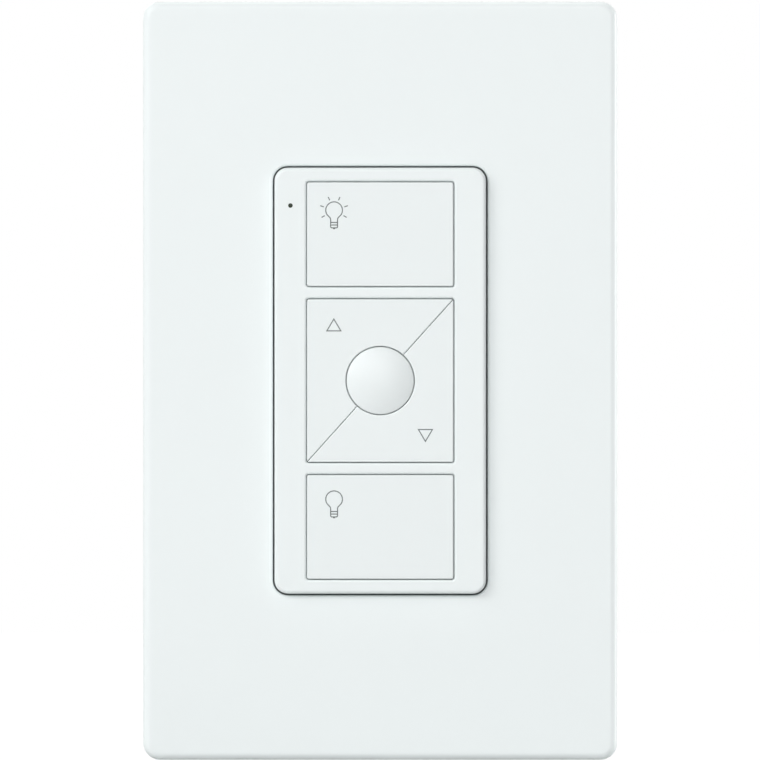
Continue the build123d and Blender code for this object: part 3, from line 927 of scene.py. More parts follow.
class Finishes:
    """The finishes of this object."""

    COVER = MouldedPlastic("satin_cover", (0.850, 0.898, 0.898), 0.42)
    BEZEL = MouldedPlastic("satin_bezel", (0.850, 0.898, 0.898), 0.40)
    CAPS = MouldedPlastic("satin_caps", (0.836, 0.882, 0.882), 0.38)
    FRAME = MouldedPlastic("matt_frame", (0.80, 0.83, 0.83), 0.55, grain=0.3 * MM, relief=0.006 * MM)
    CASE = MouldedPlastic("matt_case", (0.80, 0.83, 0.83), 0.52, grain=0.3 * MM, relief=0.006 * MM)
    BRACKET = MouldedPlastic("matt_bracket", (0.72, 0.74, 0.74), 0.58, grain=0.4 * MM, relief=0.008 * MM)
    SCREWS = DrawnMetal("zinc_screws", (0.62, 0.62, 0.60), 0.34)
    CANS = DrawnMetal("plated_cans", (0.60, 0.60, 0.58), 0.28)
    CELL = DrawnMetal("brushed_cell", (0.66, 0.66, 0.64), 0.30, line=0.05 * MM)
    SPRINGS = DrawnMetal("spring_sheet", (0.70, 0.68, 0.60), 0.25)
    PADS = DrawnMetal("gold_flash", (0.78, 0.58, 0.25), 0.28)
    LENS = SmokedLens("smoked_lens_plastic", (0.030, 0.042, 0.026), 0.3)
    LAMP = SmokedLens("clear_lamp_resin", (0.80, 0.80, 0.70), 0.15)
    BOARD = BoardLacquer("board_lacquer", (0.03, 0.20, 0.08), 0.35)
    RESIN = MouldedPlastic("chip_resin", (0.02, 0.02, 0.02), 0.55, grain=0.1 * MM, relief=0.006 * MM)
    CERAMIC = MouldedPlastic("fired_ceramic", (0.45, 0.33, 0.20), 0.6, grain=0.1 * MM, relief=0.006 * MM)
    INK = PrintInk("grey_print", (0.16, 0.18, 0.18), 0.6)


def seat(piece: Piece, body: Body, finish: Finish, slot: str, *stands_for: str) -> None:
    """Dress a finished piece, let it ride on its body and report it.

    Args:
        piece: The finished piece.
        body: The body that carries it.
        finish: Its finish.
        slot: Not used; it names the record's material slot that the finish belongs to.
        stands_for: The nodes that it is shown in place of.
    """
    piece.data.materials.clear()
    piece.data.materials.append(finish.material())
    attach(piece, body.value)
    if stands_for:
        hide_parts(*stands_for)
    LOG.info("%s: %d faces, on %s", piece.name, len(piece.data.polygons), body.value)


def dress_node(node: str, finish: Finish) -> None:
    """Give a carried-over node its finish and report it.

    Args:
        node: Name of the node.
        finish: Its finish.
    """
    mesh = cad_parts[node].data
    mesh.materials.clear()
    mesh.materials.append(finish.material())
    LOG.info("%s: carried over in %s", node, finish.name)


@dataclass
class WallPlate:
    """Snap-on cover, the sub-plate that it clips to, its screws and the bracket on the wall."""

    corner: float = 2.6 * MM
    edge: float = 1.2 * MM
    edge_steps: int = 8
    wall: float = 1.8 * MM
    skirt: float = 1.6 * MM
    inside_corner: float = 1.2 * MM
    opening_gap: float = 0.25 * MM
    opening_corner: float = 2.35 * MM
    opening_edge: float = 0.4 * MM
    opening_steps: int = 4
    collar: float = 1.2 * MM
    collar_gap: float = 0.05 * MM
    hook_length: float = 8.0 * MM
    hook_bite: float = 0.7 * MM
    hook_ramp: float = 1.6 * MM
    hook_gap: float = 0.1 * MM
    hook_spacing: float = 38.0 * MM
    notch_width: float = 9.0 * MM
    notch_depth: float = 1.2 * MM
    head_radius: float = 3.3 * MM
    head_cone: float = 1.3 * MM
    head_edge: float = 0.12 * MM
    shank_radius: float = 1.75 * MM
    thread_core: float = 1.4 * MM
    thread_pitch: float = 0.6 * MM
    thread_sunk: float = 0.075 * MM
    crest_share: float = 0.4
    thread_steps: int = 32
    tip_chamfer: float = 0.3 * MM
    slot_width: float = 0.9 * MM
    slot_depth: float = 0.7 * MM
    spare: float = 1.0 * MM

    def build(self) -> None:
        """Model the cover and dress the plate's other pieces."""
        seat(self.cover(), Body.FIXED, Finishes.COVER, "cover_white", "cover_plate")
        self.screws()
        dress_node("sub_plate", Finishes.FRAME)
        dress_node("wall_bracket", Finishes.BRACKET)

    def screws(self) -> None:
        """Model one countersunk screw with its thread and slot, and copy it to the other end."""
        low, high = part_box("plate_screws")
        front, back = low.y, high.y
        z = high.z - self.head_radius
        tip, neck = self.thread_core, front + self.head_cone
        profile = [
            (0, back),
            (tip - self.tip_chamfer, back),
            (tip, back - self.tip_chamfer),
            (tip, neck + self.thread_pitch),
            (self.shank_radius, neck + self.thread_pitch / 2),
            (self.shank_radius, neck),
            (self.head_radius, front + self.head_edge),
            (self.head_radius, front),
            (0, front),
        ]
        upper = turned("screw_upper", profile, (0, 0), FINE_STEPS)
        combine(upper, self.thread(back - self.tip_chamfer, neck + self.thread_pitch), Joinery.JOIN)
        half = self.slot_width / 2
        slot_low = Vector((-2 * self.head_radius, front - self.spare, -half))
        slot_high = Vector((2 * self.head_radius, front + self.slot_depth, half))
        combine(upper, block("slot", slot_low, slot_high), Joinery.CUT)
        soften(upper)
        lower = copy_by(upper, Matrix.Translation((0, 0, -z)))
        upper.location.z = z
        settle(upper, "screw_upper")
        settle(lower, "screw_lower")
        for screw in (upper, lower):
            seat(screw, Body.FIXED, Finishes.SCREWS, "screw_steel", "plate_screws")

    def thread(self, back: float, front: float) -> Piece:
        """Wind the screw's thread: a ridge of three edges, wound on itself turn by turn.

        Args:
            back: Y of its back end.
            front: Y of its front end.

        Returns:
            The closed ridge about the Y axis.
        """
        root, pitch = self.thread_core - self.thread_sunk, self.thread_pitch
        turns = int((back - front) / pitch) - 1
        flank = self.crest_share * pitch
        crest = (self.shank_radius, back - flank)
        ridge = drawn_line("ridge", [(root, back), crest, (root, back - 2 * flank), (root, back)], (0, 0))
        close_shell(ridge)
        winding = ridge.modifiers.new("winding", "SCREW")
        winding.axis = "Y"
        winding.screw_offset = -pitch
        winding.iterations = turns
        winding.steps = winding.render_steps = self.thread_steps
        apply_modifiers(ridge)
        with editing(ridge):
            bpy.ops.mesh.select_mode(type="EDGE")
            bpy.ops.mesh.select_all(action="DESELECT")
            bpy.ops.mesh.select_non_manifold()
            bpy.ops.mesh.fill_holes(sides=3)
        close_shell(ridge)
        return ridge

    def cover(self) -> Piece:
        """Model the snap-on cover.

        Returns:
            The cover: a shallow tray with a rounded opening, a collar behind it, hooks and a notch.
        """
        low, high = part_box("cover_plate")
        keypad_low, keypad_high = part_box("front_bezel")
        frame_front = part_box("sub_plate")[0].y
        front, inside = low.y, low.y + self.wall
        shell = rounded_block("cover_shell", low, high, self.corner)
        round_front(shell, front, self.edge, self.edge_steps)
        hollow_low, hollow_high = low + around(self.skirt), high - around(self.skirt)
        hollow_low.y, hollow_high.y = inside, high.y + self.spare
        combine(shell, rounded_block("hollow", hollow_low, hollow_high, self.inside_corner), Joinery.CUT)
        gap, rim = around(self.opening_gap), around(self.collar)
        collar_low, collar_high = keypad_low - gap - rim, keypad_high + gap + rim
        collar_low.y, collar_high.y = (front + inside) / 2, frame_front - self.collar_gap
        collar_corner = self.opening_corner + self.collar
        combine(shell, rounded_block("collar", collar_low, collar_high, collar_corner), Joinery.JOIN)
        opening_low, opening_high = keypad_low - gap, keypad_high + gap
        opening_low.y, opening_high.y = front - self.spare, high.y + self.spare
        combine(shell, rounded_block("opening", opening_low, opening_high, self.opening_corner), Joinery.CUT)
        round_front(shell, front, self.opening_edge, self.opening_steps, within=collar_high)
        for side in (-1, 1):
            for z in (-self.hook_spacing, 0, self.hook_spacing):
                combine(shell, self.hook(side, z), Joinery.JOIN)
        notch_low = Vector((-self.notch_width / 2, -self.notch_depth, low.z - self.spare))
        notch_high = Vector((self.notch_width / 2, self.spare, low.z + self.skirt + self.spare))
        combine(shell, block("notch", notch_low, notch_high), Joinery.CUT)
        soften(shell)
        return shell

    def hook(self, side: int, z: float) -> Piece:
        """Make one ramped hook on the inside of the skirt.

        Args:
            side: The side it is on: 1 is right and -1 is left.
            z: Height of its middle.

        Returns:
            The hook, sunk into the skirt.
        """
        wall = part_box("cover_plate")[1].x - self.skirt
        frame_edge, frame_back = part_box("sub_plate")[1].x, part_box("sub_plate")[1].y
        tip, catch = frame_edge - self.hook_bite, frame_back + self.hook_gap
        reach = (tip, wall + self.skirt / 2)
        half = self.hook_length / 2
        hook = side_block("hook", side, reach, (catch, catch + self.hook_ramp), (z - half, z + half))
        with editing(hook):
            ramp = Vector((side * -self.hook_ramp, wall - tip, 0))
            cut_across(Vector((side * tip, catch, z)), ramp, drop=True)
        return hook


@dataclass
class KeypadCase:
    """Front bezel with its three windows, rear case, battery door and light pipe."""

    corner: float = 2.1 * MM
    edge: float = 0.6 * MM
    edge_steps: int = 6
    wall: float = 1.2 * MM
    inside_corner: float = 0.9 * MM
    window_corner: float = 0.42 * MM
    window_edge: float = 0.4 * MM
    window_steps: int = 4
    flange_reach: float = 0.7 * MM
    lamp_hole: float = 0.36 * MM
    pin_clearance: float = 0.03 * MM
    pin_edge: float = 0.08 * MM
    pin_dome: float = 0.05 * MM
    ledge_clearance: float = 0.6 * MM
    groove_depth: float = 0.38 * MM
    groove_height: float = 0.56 * MM
    groove_length: float = 8.16 * MM
    groove_spacing: float = 40.0 * MM
    spare: float = 1.0 * MM

    def build(self) -> None:
        """Model the bezel and dress the rest of the case."""
        seat(self.bezel(), Body.FIXED, Finishes.BEZEL, "bezel_white", "front_bezel")
        dress_node("rear_case", Finishes.CASE)
        dress_node("battery_door", Finishes.CASE)
        self.light_pipe()

    def light_pipe(self) -> None:
        """Turn the pin that carries the lamp's light, with a domed tip and a collar behind the bezel."""
        low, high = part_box("light_pipe")
        middle = middle_of("light_pipe")
        collar = (high.x - low.x) / 2
        pin = self.lamp_hole - self.pin_clearance
        collar_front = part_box("front_bezel")[0].y + self.wall
        edge = self.pin_edge
        profile = [(0, high.y), *reversed(quarter(edge, (collar - edge, high.y - edge), 0))]
        profile += [(collar, collar_front), (pin, collar_front)]
        profile += reversed(quarter(edge, (pin - edge, low.y + edge + self.pin_dome), -90))
        profile.append((0, low.y))
        pipe = turned("light_pipe_pin", profile, (middle.x, middle.z), FINE_STEPS)
        soften(pipe)
        seat(pipe, Body.FIXED, Finishes.LENS, "smoked_lens", "light_pipe")

    def windows(self) -> list[tuple[Vector, Vector]]:
        """Find the three windows from the flanges that lie behind them.

        Returns:
            The lowest and highest corner of each window.
        """
        inset = around(self.flange_reach)
        rows = []
        for caps in (("button_on",), ("button_raise", "button_lower"), ("button_off",)):
            low, high = box_round(*caps)
            rows.append((low + inset, high - inset))
        return rows

    def bezel(self) -> Piece:
        """Model the front half of the case.

        Returns:
            The bezel, with rounded outside and window edges.
        """
        low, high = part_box("front_bezel")
        front, back = low.y, high.y
        shell = rounded_block("bezel_shell", low, high, self.corner)
        round_front(shell, front, self.edge, self.edge_steps)
        inset = around(self.wall)
        hollow_low = low + inset + Vector((0, self.wall, 0))
        hollow_high = high - inset + Vector((0, self.spare, 0))
        combine(shell, rounded_block("hollow", hollow_low, hollow_high, self.inside_corner), Joinery.CUT)
        for window_low, window_high in self.windows():
            window_low.y, window_high.y = front - self.spare, back
            combine(shell, rounded_block("window", window_low, window_high, self.window_corner), Joinery.CUT)
        within = high - around(self.edge + TOUCH)
        round_front(shell, front, self.window_edge, self.window_steps, within)
        lamp_low, lamp_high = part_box("light_pipe")
        lamp = middle_of("light_pipe")
        combine(shell, rod("lamp", (lamp.x, lamp.z), self.lamp_hole, front - self.spare, back), Joinery.CUT)
        ledge_top = lamp.z - (lamp_high.z - lamp_low.z)
        for side in (-1, 1):
            combine(shell, self.ledge(side, ledge_top), Joinery.JOIN)
            for end in (-1, 1):
                combine(shell, self.snap_groove(side, end), Joinery.CUT)
        soften(shell)
        return shell

    def ledge(self, side: int, top: float) -> Piece:
        """Make the ledge inside one side wall that the board rests against.

        Args:
            side: The side it is on: 1 is right and -1 is left.
            top: Height of its upper end.

        Returns:
            The ledge, sunk into the walls.
        """
        low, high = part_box("front_bezel")
        reach = (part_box("button_on")[1].x + self.ledge_clearance, high.x - self.wall / 2)
        depth = (low.y + self.wall / 2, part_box("circuit_board")[0].y)
        return side_block("ledge", side, reach, depth, (low.z + self.wall + self.inside_corner, top))

    def snap_groove(self, side: int, end: int) -> Piece:
        """Make the tool for one groove that a ridge of the rear case snaps into.

        Args:
            side: The side it is on: 1 is right and -1 is left.
            end: The end it is near: 1 is the top and -1 is the bottom.

        Returns:
            The tool, standing out of the wall's inside.
        """
        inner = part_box("front_bezel")[1].x - self.wall
        y = (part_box("front_bezel")[1].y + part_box("rear_case")[0].y) / 2
        z = end * self.groove_spacing / 2
        reach = (inner - self.spare, inner + self.groove_depth)
        depth = (y - self.groove_height / 2, y + self.groove_height / 2)
        length = (z - self.groove_length / 2, z + self.groove_length / 2)
        return side_block("groove", side, reach, depth, length)


@dataclass
class ButtonCap:
    """Sizes and steps that the four flat caps share."""

    name: str
    body: Body
    flange_reach: float = 0.82 * MM
    flange_thickness: float = 0.5 * MM
    thickness: float = 1.15 * MM
    nub_proud: float = 0.2 * MM
    nub_radius: float = 1.5 * MM
    rim: float = 1.2 * MM
    corner: float = 0.34 * MM
    corner_steps: int = 6
    edge: float = 0.21 * MM
    edge_steps: int = 4

    @property
    def node(self) -> str:
        """Name of the node that the cap stands for."""
        return f"button_{self.name}"

    def flanged_block(self, low: Vector, high: Vector) -> Piece:
        """Make a block with rounded corners and front edges and a flange round its back.

        Args:
            low: Lowest corner of the cap with its flange.
            high: Highest corner of the cap with its flange.

        Returns:
            The flanged block.
        """
        reach = around(self.flange_reach)
        cap = block(f"cap_{self.name}", low + reach, high - reach - Vector((0, self.nub_proud, 0)))
        flange_front = high.y - self.nub_proud - self.flange_thickness
        with editing(cap):
            cut_across(Vector((0, flange_front, 0)), Vector((0, 1, 0)))
            pick(
                cap,
                Element.FACE,
                lambda face: abs(face.normal.y) < FACING and face.calc_center_median().y > flange_front,
            )
            bpy.ops.mesh.extrude_region_shrink_fatten(
                TRANSFORM_OT_shrink_fatten={"value": self.flange_reach, "use_even_offset": True}
            )
            side, back = high.x - self.flange_reach + TOUCH, high.y - self.nub_proud - TOUCH
            pick(
                cap,
                Element.EDGE,
                lambda edge: runs_back(edge)
                and all(abs(v.co.x) < side and v.co.y < back for v in edge.verts),
            )
            bpy.ops.mesh.bevel(offset=self.corner, segments=self.corner_steps, affect="EDGES")
            pick(cap, Element.EDGE, lambda edge: rims_front(edge, low.y))
            bpy.ops.mesh.bevel(offset=self.edge, segments=self.edge_steps, affect="EDGES")
        return cap

    def hollow(self, cap: Piece, low: Vector, high: Vector) -> None:
        """Cut the pocket behind a cap's face and add the nub that presses its dome.

        Args:
            cap: The cap.
            low: Lowest corner of the cap with its flange.
            high: Highest corner of the cap with its flange.
        """
        inset = self.flange_reach + self.rim
        pocket_low = Vector((low.x + inset, low.y + self.thickness, low.z + inset))
        pocket_high = Vector((high.x - inset, high.y, high.z - inset))
        combine(cap, block("pocket", pocket_low, pocket_high), Joinery.CUT)
        dome = middle_of(f"snap_dome_{self.name}")
        root = low.y + self.thickness / 2
        combine(cap, rod("nub", (dome.x, dome.z), self.nub_radius, root, high.y), Joinery.JOIN)


@dataclass
class EndCap(ButtonCap):
    """Full-width cap at the top or bottom of the keypad."""

    def build(self) -> None:
        """Model the cap and seat it on its body."""
        low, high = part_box(self.node)
        cap = self.flanged_block(low, high)
        self.hollow(cap, low, high)
        soften(cap)
        seat(cap, self.body, Finishes.CAPS, "cap_white", self.node)


@dataclass
class SplitCaps(ButtonCap):
    """Raise and lower caps: the two halves of the middle window, on either side of a diagonal seam."""

    clearance: float = 0.12 * MM
    seam_gap: float = 0.08 * MM
    bore: float = 5.42 * MM
    spare: float = 0.3 * MM

    def build(self) -> None:
        """Model the raise cap, turn a copy by half a turn for the lower cap and seat both."""
        low, high = box_round("button_raise", "button_lower")
        cap = self.flanged_block(low, high)
        front, back = low.y - self.spare, high.y + self.spare
        bore = turned("bore", self.mouth(self.bore, low.y, back) + [(0, front), (0, back)], (0, 0))
        combine(cap, self.seam_tool(low, high), Joinery.CUT)
        combine(cap, bore, Joinery.CUT)
        self.hollow(cap, low, high)
        soften(cap)
        lower = settle(copy_by(cap, Matrix.Rotation(math.pi, 4, "Y")), "cap_lower")
        seat(cap, self.body, Finishes.CAPS, "cap_white", self.node)
        seat(lower, Body.LOWER, Finishes.CAPS, "cap_white", "button_lower")

    def mouth(self, wall: float, front: float, back: float) -> list[Place]:
        """Return the profile of a cut with one wall, which opens at the front round the cap's edge.

        Args:
            wall: Place of the wall, from the middle of the cut.
            front: Y of the cap's face.
            back: Y where the cut ends.

        Returns:
            The points from the back to a little way in front of the face.
        """
        edge = self.edge
        rounding = [(wall + edge - x, y) for x, y in reversed(quarter(edge, (0, front + edge), -90))]
        return [(wall, back), *rounding, (wall + edge, front - self.spare)]

    def seam_tool(self, low: Vector, high: Vector) -> Piece:
        """Make the tool that takes the lower cap's half away along the seam.

        Args:
            low: Lowest corner of both caps with their flanges.
            high: Highest corner of both caps with their flanges.

        Returns:
            The tool, which also rounds the seam's front edge.
        """
        window = high - around(self.flange_reach - self.clearance)
        front, back = low.y - self.spare, high.y + self.spare
        wall, reach = self.seam_gap / 2, (high - low).length
        profile = [*self.mouth(wall, low.y, back), (-reach, front), (-reach, back), (wall, back)]
        tool = drawn_line("seam", profile, (0, -reach))
        close_shell(tool)
        with editing(tool):
            bpy.ops.mesh.select_all(action="SELECT")
            bpy.ops.mesh.edge_face_add()
            bpy.ops.mesh.extrude_region_move(TRANSFORM_OT_translate={"value": (0, 0, 2 * reach)})
        tool.rotation_euler = (0, math.atan2(-window.x, -window.z), 0)
        settle(tool, "seam")
        close_shell(tool)
        return tool


@dataclass
class RoundCap:
    """Crowned round cap in the middle of the keypad, turned from one profile."""

    radius: float = 5.3 * MM
    crown: float = 1.1 * MM
    edge: float = 0.24 * MM
    flange_radius: float = 6.02 * MM
    flange_thickness: float = 0.35 * MM
    nub_radius: float = 1.5 * MM
    nub_proud: float = 0.05 * MM
    rim_steps: int = 5
    crown_steps: int = 14

    def build(self) -> None:
        """Turn the cap and seat it on its body."""
        cap = turned("cap_favourite", self.profile(), (0, 0))
        soften(cap)
        seat(cap, Body.FAVOURITE, Finishes.CAPS, "cap_white", "button_favourite")

    def profile(self) -> list[Place]:
        """Draw the cap's profile.

        Returns:
            The points as radius and Y, from the nub round the flange to the top of the crown.
        """
        low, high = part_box("button_favourite")
        tip, top = high.y, low.y
        flange_back = tip - self.nub_proud
        flange_front = flange_back - self.flange_thickness
        points = [
            (0, tip),
            (self.nub_radius, tip),
            (self.nub_radius, flange_back),
            (self.flange_radius, flange_back),
            (self.flange_radius, flange_front),
            (self.radius, flange_front),
        ]
        sphere = (self.radius**2 + self.crown**2) / (2 * self.crown)
        centre = top + sphere
        rim_radius = self.radius - self.edge
        rim_height = math.sqrt((sphere - self.edge) ** 2 - rim_radius**2)
        lean = math.atan2(rim_height, rim_radius)
        for step in range(self.rim_steps + 1):
            angle = lean * step / self.rim_steps
            out, forward = self.edge * math.cos(angle), self.edge * math.sin(angle)
            points.append((rim_radius + out, centre - rim_height - forward))
        for step in range(1, self.crown_steps + 1):
            angle = lean + (math.pi / 2 - lean) * step / self.crown_steps
            points.append((sphere * math.cos(angle), centre - sphere * math.sin(angle)))
        return points


@dataclass
class SnapDome:
    """Thin sprung dome that flattens under its cap."""

    name: str
    sheet: float = 0.1 * MM
    steps: int = 8
    round_steps: int = 40
    keep: float = 0.25

    def build(self) -> None:
        """Turn the dome, seat it on the fixed body and give it a mesh of its own."""
        node = f"snap_dome_{self.name}"
        low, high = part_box(node)
        middle = middle_of(node)
        place = (middle.x, middle.z)
        dome = turned(f"dome_{self.name}", self.profile(low, high), place, self.round_steps)
        soften(dome)
        seat(dome, Body.FIXED, Finishes.SPRINGS, "spring_steel", node)
        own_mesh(dome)

    def profile(self, low: Vector, high: Vector) -> list[Place]:
        """Draw the sheet's section: in along its outside and back out along its inside.

        Args:
            low: Lowest corner of the dome.
            high: Highest corner of the dome.

        Returns:
            The section as radius and Y, closed at the rim.
        """
        radius, height = (high.x - low.x) / 2, high.y - low.y
        sphere = (radius**2 + height**2) / (2 * height)
        centre = low.y + sphere
        sides = []
        for shell in (sphere, sphere - self.sheet):
            widest = math.acos((centre - high.y) / shell)
            angles = [widest * i / self.steps for i in range(self.steps + 1)]
            sides.append([(shell * math.sin(a), centre - shell * math.cos(a)) for a in angles])
        outside, inside = sides
        return [*reversed(outside), *inside, outside[-1]]


@dataclass
class PrintedSign:
    """Thin printed outline on the front of a cap."""

    kind: Sign
    body: Body
    place: Place
    line: float = 0.17 * MM
    ink: float = 0.012 * MM
    sunk: float = 0.006 * MM
    bulb_radius: float = 1.395 * MM
    bulb_steps: int = 64
    shoulder_drop: float = 0.76 * MM
    neck: tuple[Place, ...] = (
        (1.27 * MM, 0.68 * MM),
        (1.50 * MM, 0.625 * MM),
        (2.60 * MM, 0.625 * MM),
        (2.76 * MM, 0.57 * MM),
        (2.86 * MM, 0.44 * MM),
    )
    band_drops: tuple[float, float] = (1.935 * MM, 2.33 * MM)
    band_length: float = 1.1 * MM
    tip_drop: float = 2.90 * MM
    tip_length: float = 0.34 * MM
    ray_start: float = 1.70 * MM
    ray_end: float = 2.28 * MM
    ray_first: float = -30.0
    ray_step: float = 48.0
    ray_count: int = 6
    arrow_width: float = 2.5 * MM
    arrow_height: float = 2.12 * MM

    def build(self) -> None:
        """Draw the sign and let it ride on its cap."""
        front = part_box(f"button_{self.body.name.lower()}")[0].y
        if self.kind in (Sign.UP, Sign.DOWN):
            sign = self.arrow()
        else:
            sign = self.bulb()
        with editing(sign):
            bpy.ops.mesh.select_all(action="SELECT")
            bpy.ops.mesh.extrude_region_move(TRANSFORM_OT_translate={"value": (0, -self.ink - self.sunk, 0)})
            bpy.ops.mesh.select_all(action="SELECT")
            bpy.ops.mesh.normals_make_consistent(inside=False)
        sign.location = (self.place[0], front + self.sunk, self.place[1])
        settle(sign, f"sign_{self.kind.value}")
        seat(sign, self.body, Finishes.INK, "cap_white")

    def outline(self) -> None:
        """Turn the flat shape that is being edited into an outline of the line's width."""
        bpy.ops.mesh.select_all(action="SELECT")
        bpy.ops.mesh.dissolve_faces()
        bpy.ops.mesh.inset(thickness=self.line, use_even_offset=True)
        bpy.ops.mesh.delete(type="FACE")

    def arrow(self) -> Piece:
        """Draw a triangle that points up or down, about the middle of its box.

        Returns:
            The flat outline, facing the viewer.
        """
        flip = 1 if self.kind is Sign.UP else -1
        sign = self.bar((0, 0), self.arrow_width, flip * self.arrow_height)
        with editing(sign):
            pick(sign, Element.EDGE, lambda edge: all(v.co.z * flip > 0 for v in edge.verts))
            bpy.ops.mesh.merge(type="CENTER")
            self.outline()
        return sign

    def bulb(self) -> Piece:
        """Draw a bulb with its screw base, and its rays where it is lit.

        Returns:
            The flat drawing about the bulb's centre, facing the viewer.
        """
        bpy.ops.object.select_all(action="DESELECT")
        bpy.ops.mesh.primitive_circle_add(
            vertices=self.bulb_steps, radius=self.bulb_radius, fill_type="NGON", rotation=(math.pi / 2, 0, 0)
        )
        sign = settle(bpy.context.object, "bulb")
        half = math.sqrt(self.bulb_radius**2 - self.shoulder_drop**2)
        drop = self.shoulder_drop
        with editing(sign):
            cut_across(Vector((0, 0, -drop)), Vector((0, 0, -1)), drop=True)
            for next_drop, next_half in self.neck:
                level = -drop
                pick(sign, Element.EDGE, lambda edge: all(abs(v.co.z - level) < TOUCH for v in edge.verts))
                bpy.ops.mesh.extrude_region_move(TRANSFORM_OT_translate={"value": (0, 0, drop - next_drop)})
                bpy.ops.transform.resize(value=(next_half / half, 1, 1), center_override=(0, 0, -next_drop))
                drop, half = next_drop, next_half
            self.outline()
        strokes = [sign, self.bar((0, -self.tip_drop), self.tip_length, self.line)]
        for band in self.band_drops:
            strokes.append(self.bar((0, -band), self.band_length, self.line))
        if self.kind is Sign.LIT_BULB:
            middle = (self.ray_start + self.ray_end) / 2
            for i in range(self.ray_count):
                angle = math.radians(self.ray_first + i * self.ray_step)
                place = (middle * math.cos(angle), middle * math.sin(angle))
                strokes.append(self.bar(place, self.ray_end - self.ray_start, self.line, angle))
        return gather("bulb", strokes)

    def bar(self, place: Place, length: float, height: float, angle: float = 0.0) -> Piece:
        """Draw one straight bar of the print.

        Args:
            place: X and Z of its middle.
            length: Its length.
            height: Its height across that, which is negative where it stands on its head.
            angle: Its slope in radians.

        Returns:
            The flat bar, facing the viewer.
        """
        bpy.ops.object.select_all(action="DESELECT")
        bpy.ops.mesh.primitive_plane_add(
            size=1, location=(place[0], 0, place[1]), rotation=(math.pi / 2, -angle, 0)
        )
        bar = bpy.context.object
        bar.scale = (length, height, 1)
        return settle(bar, "bar")


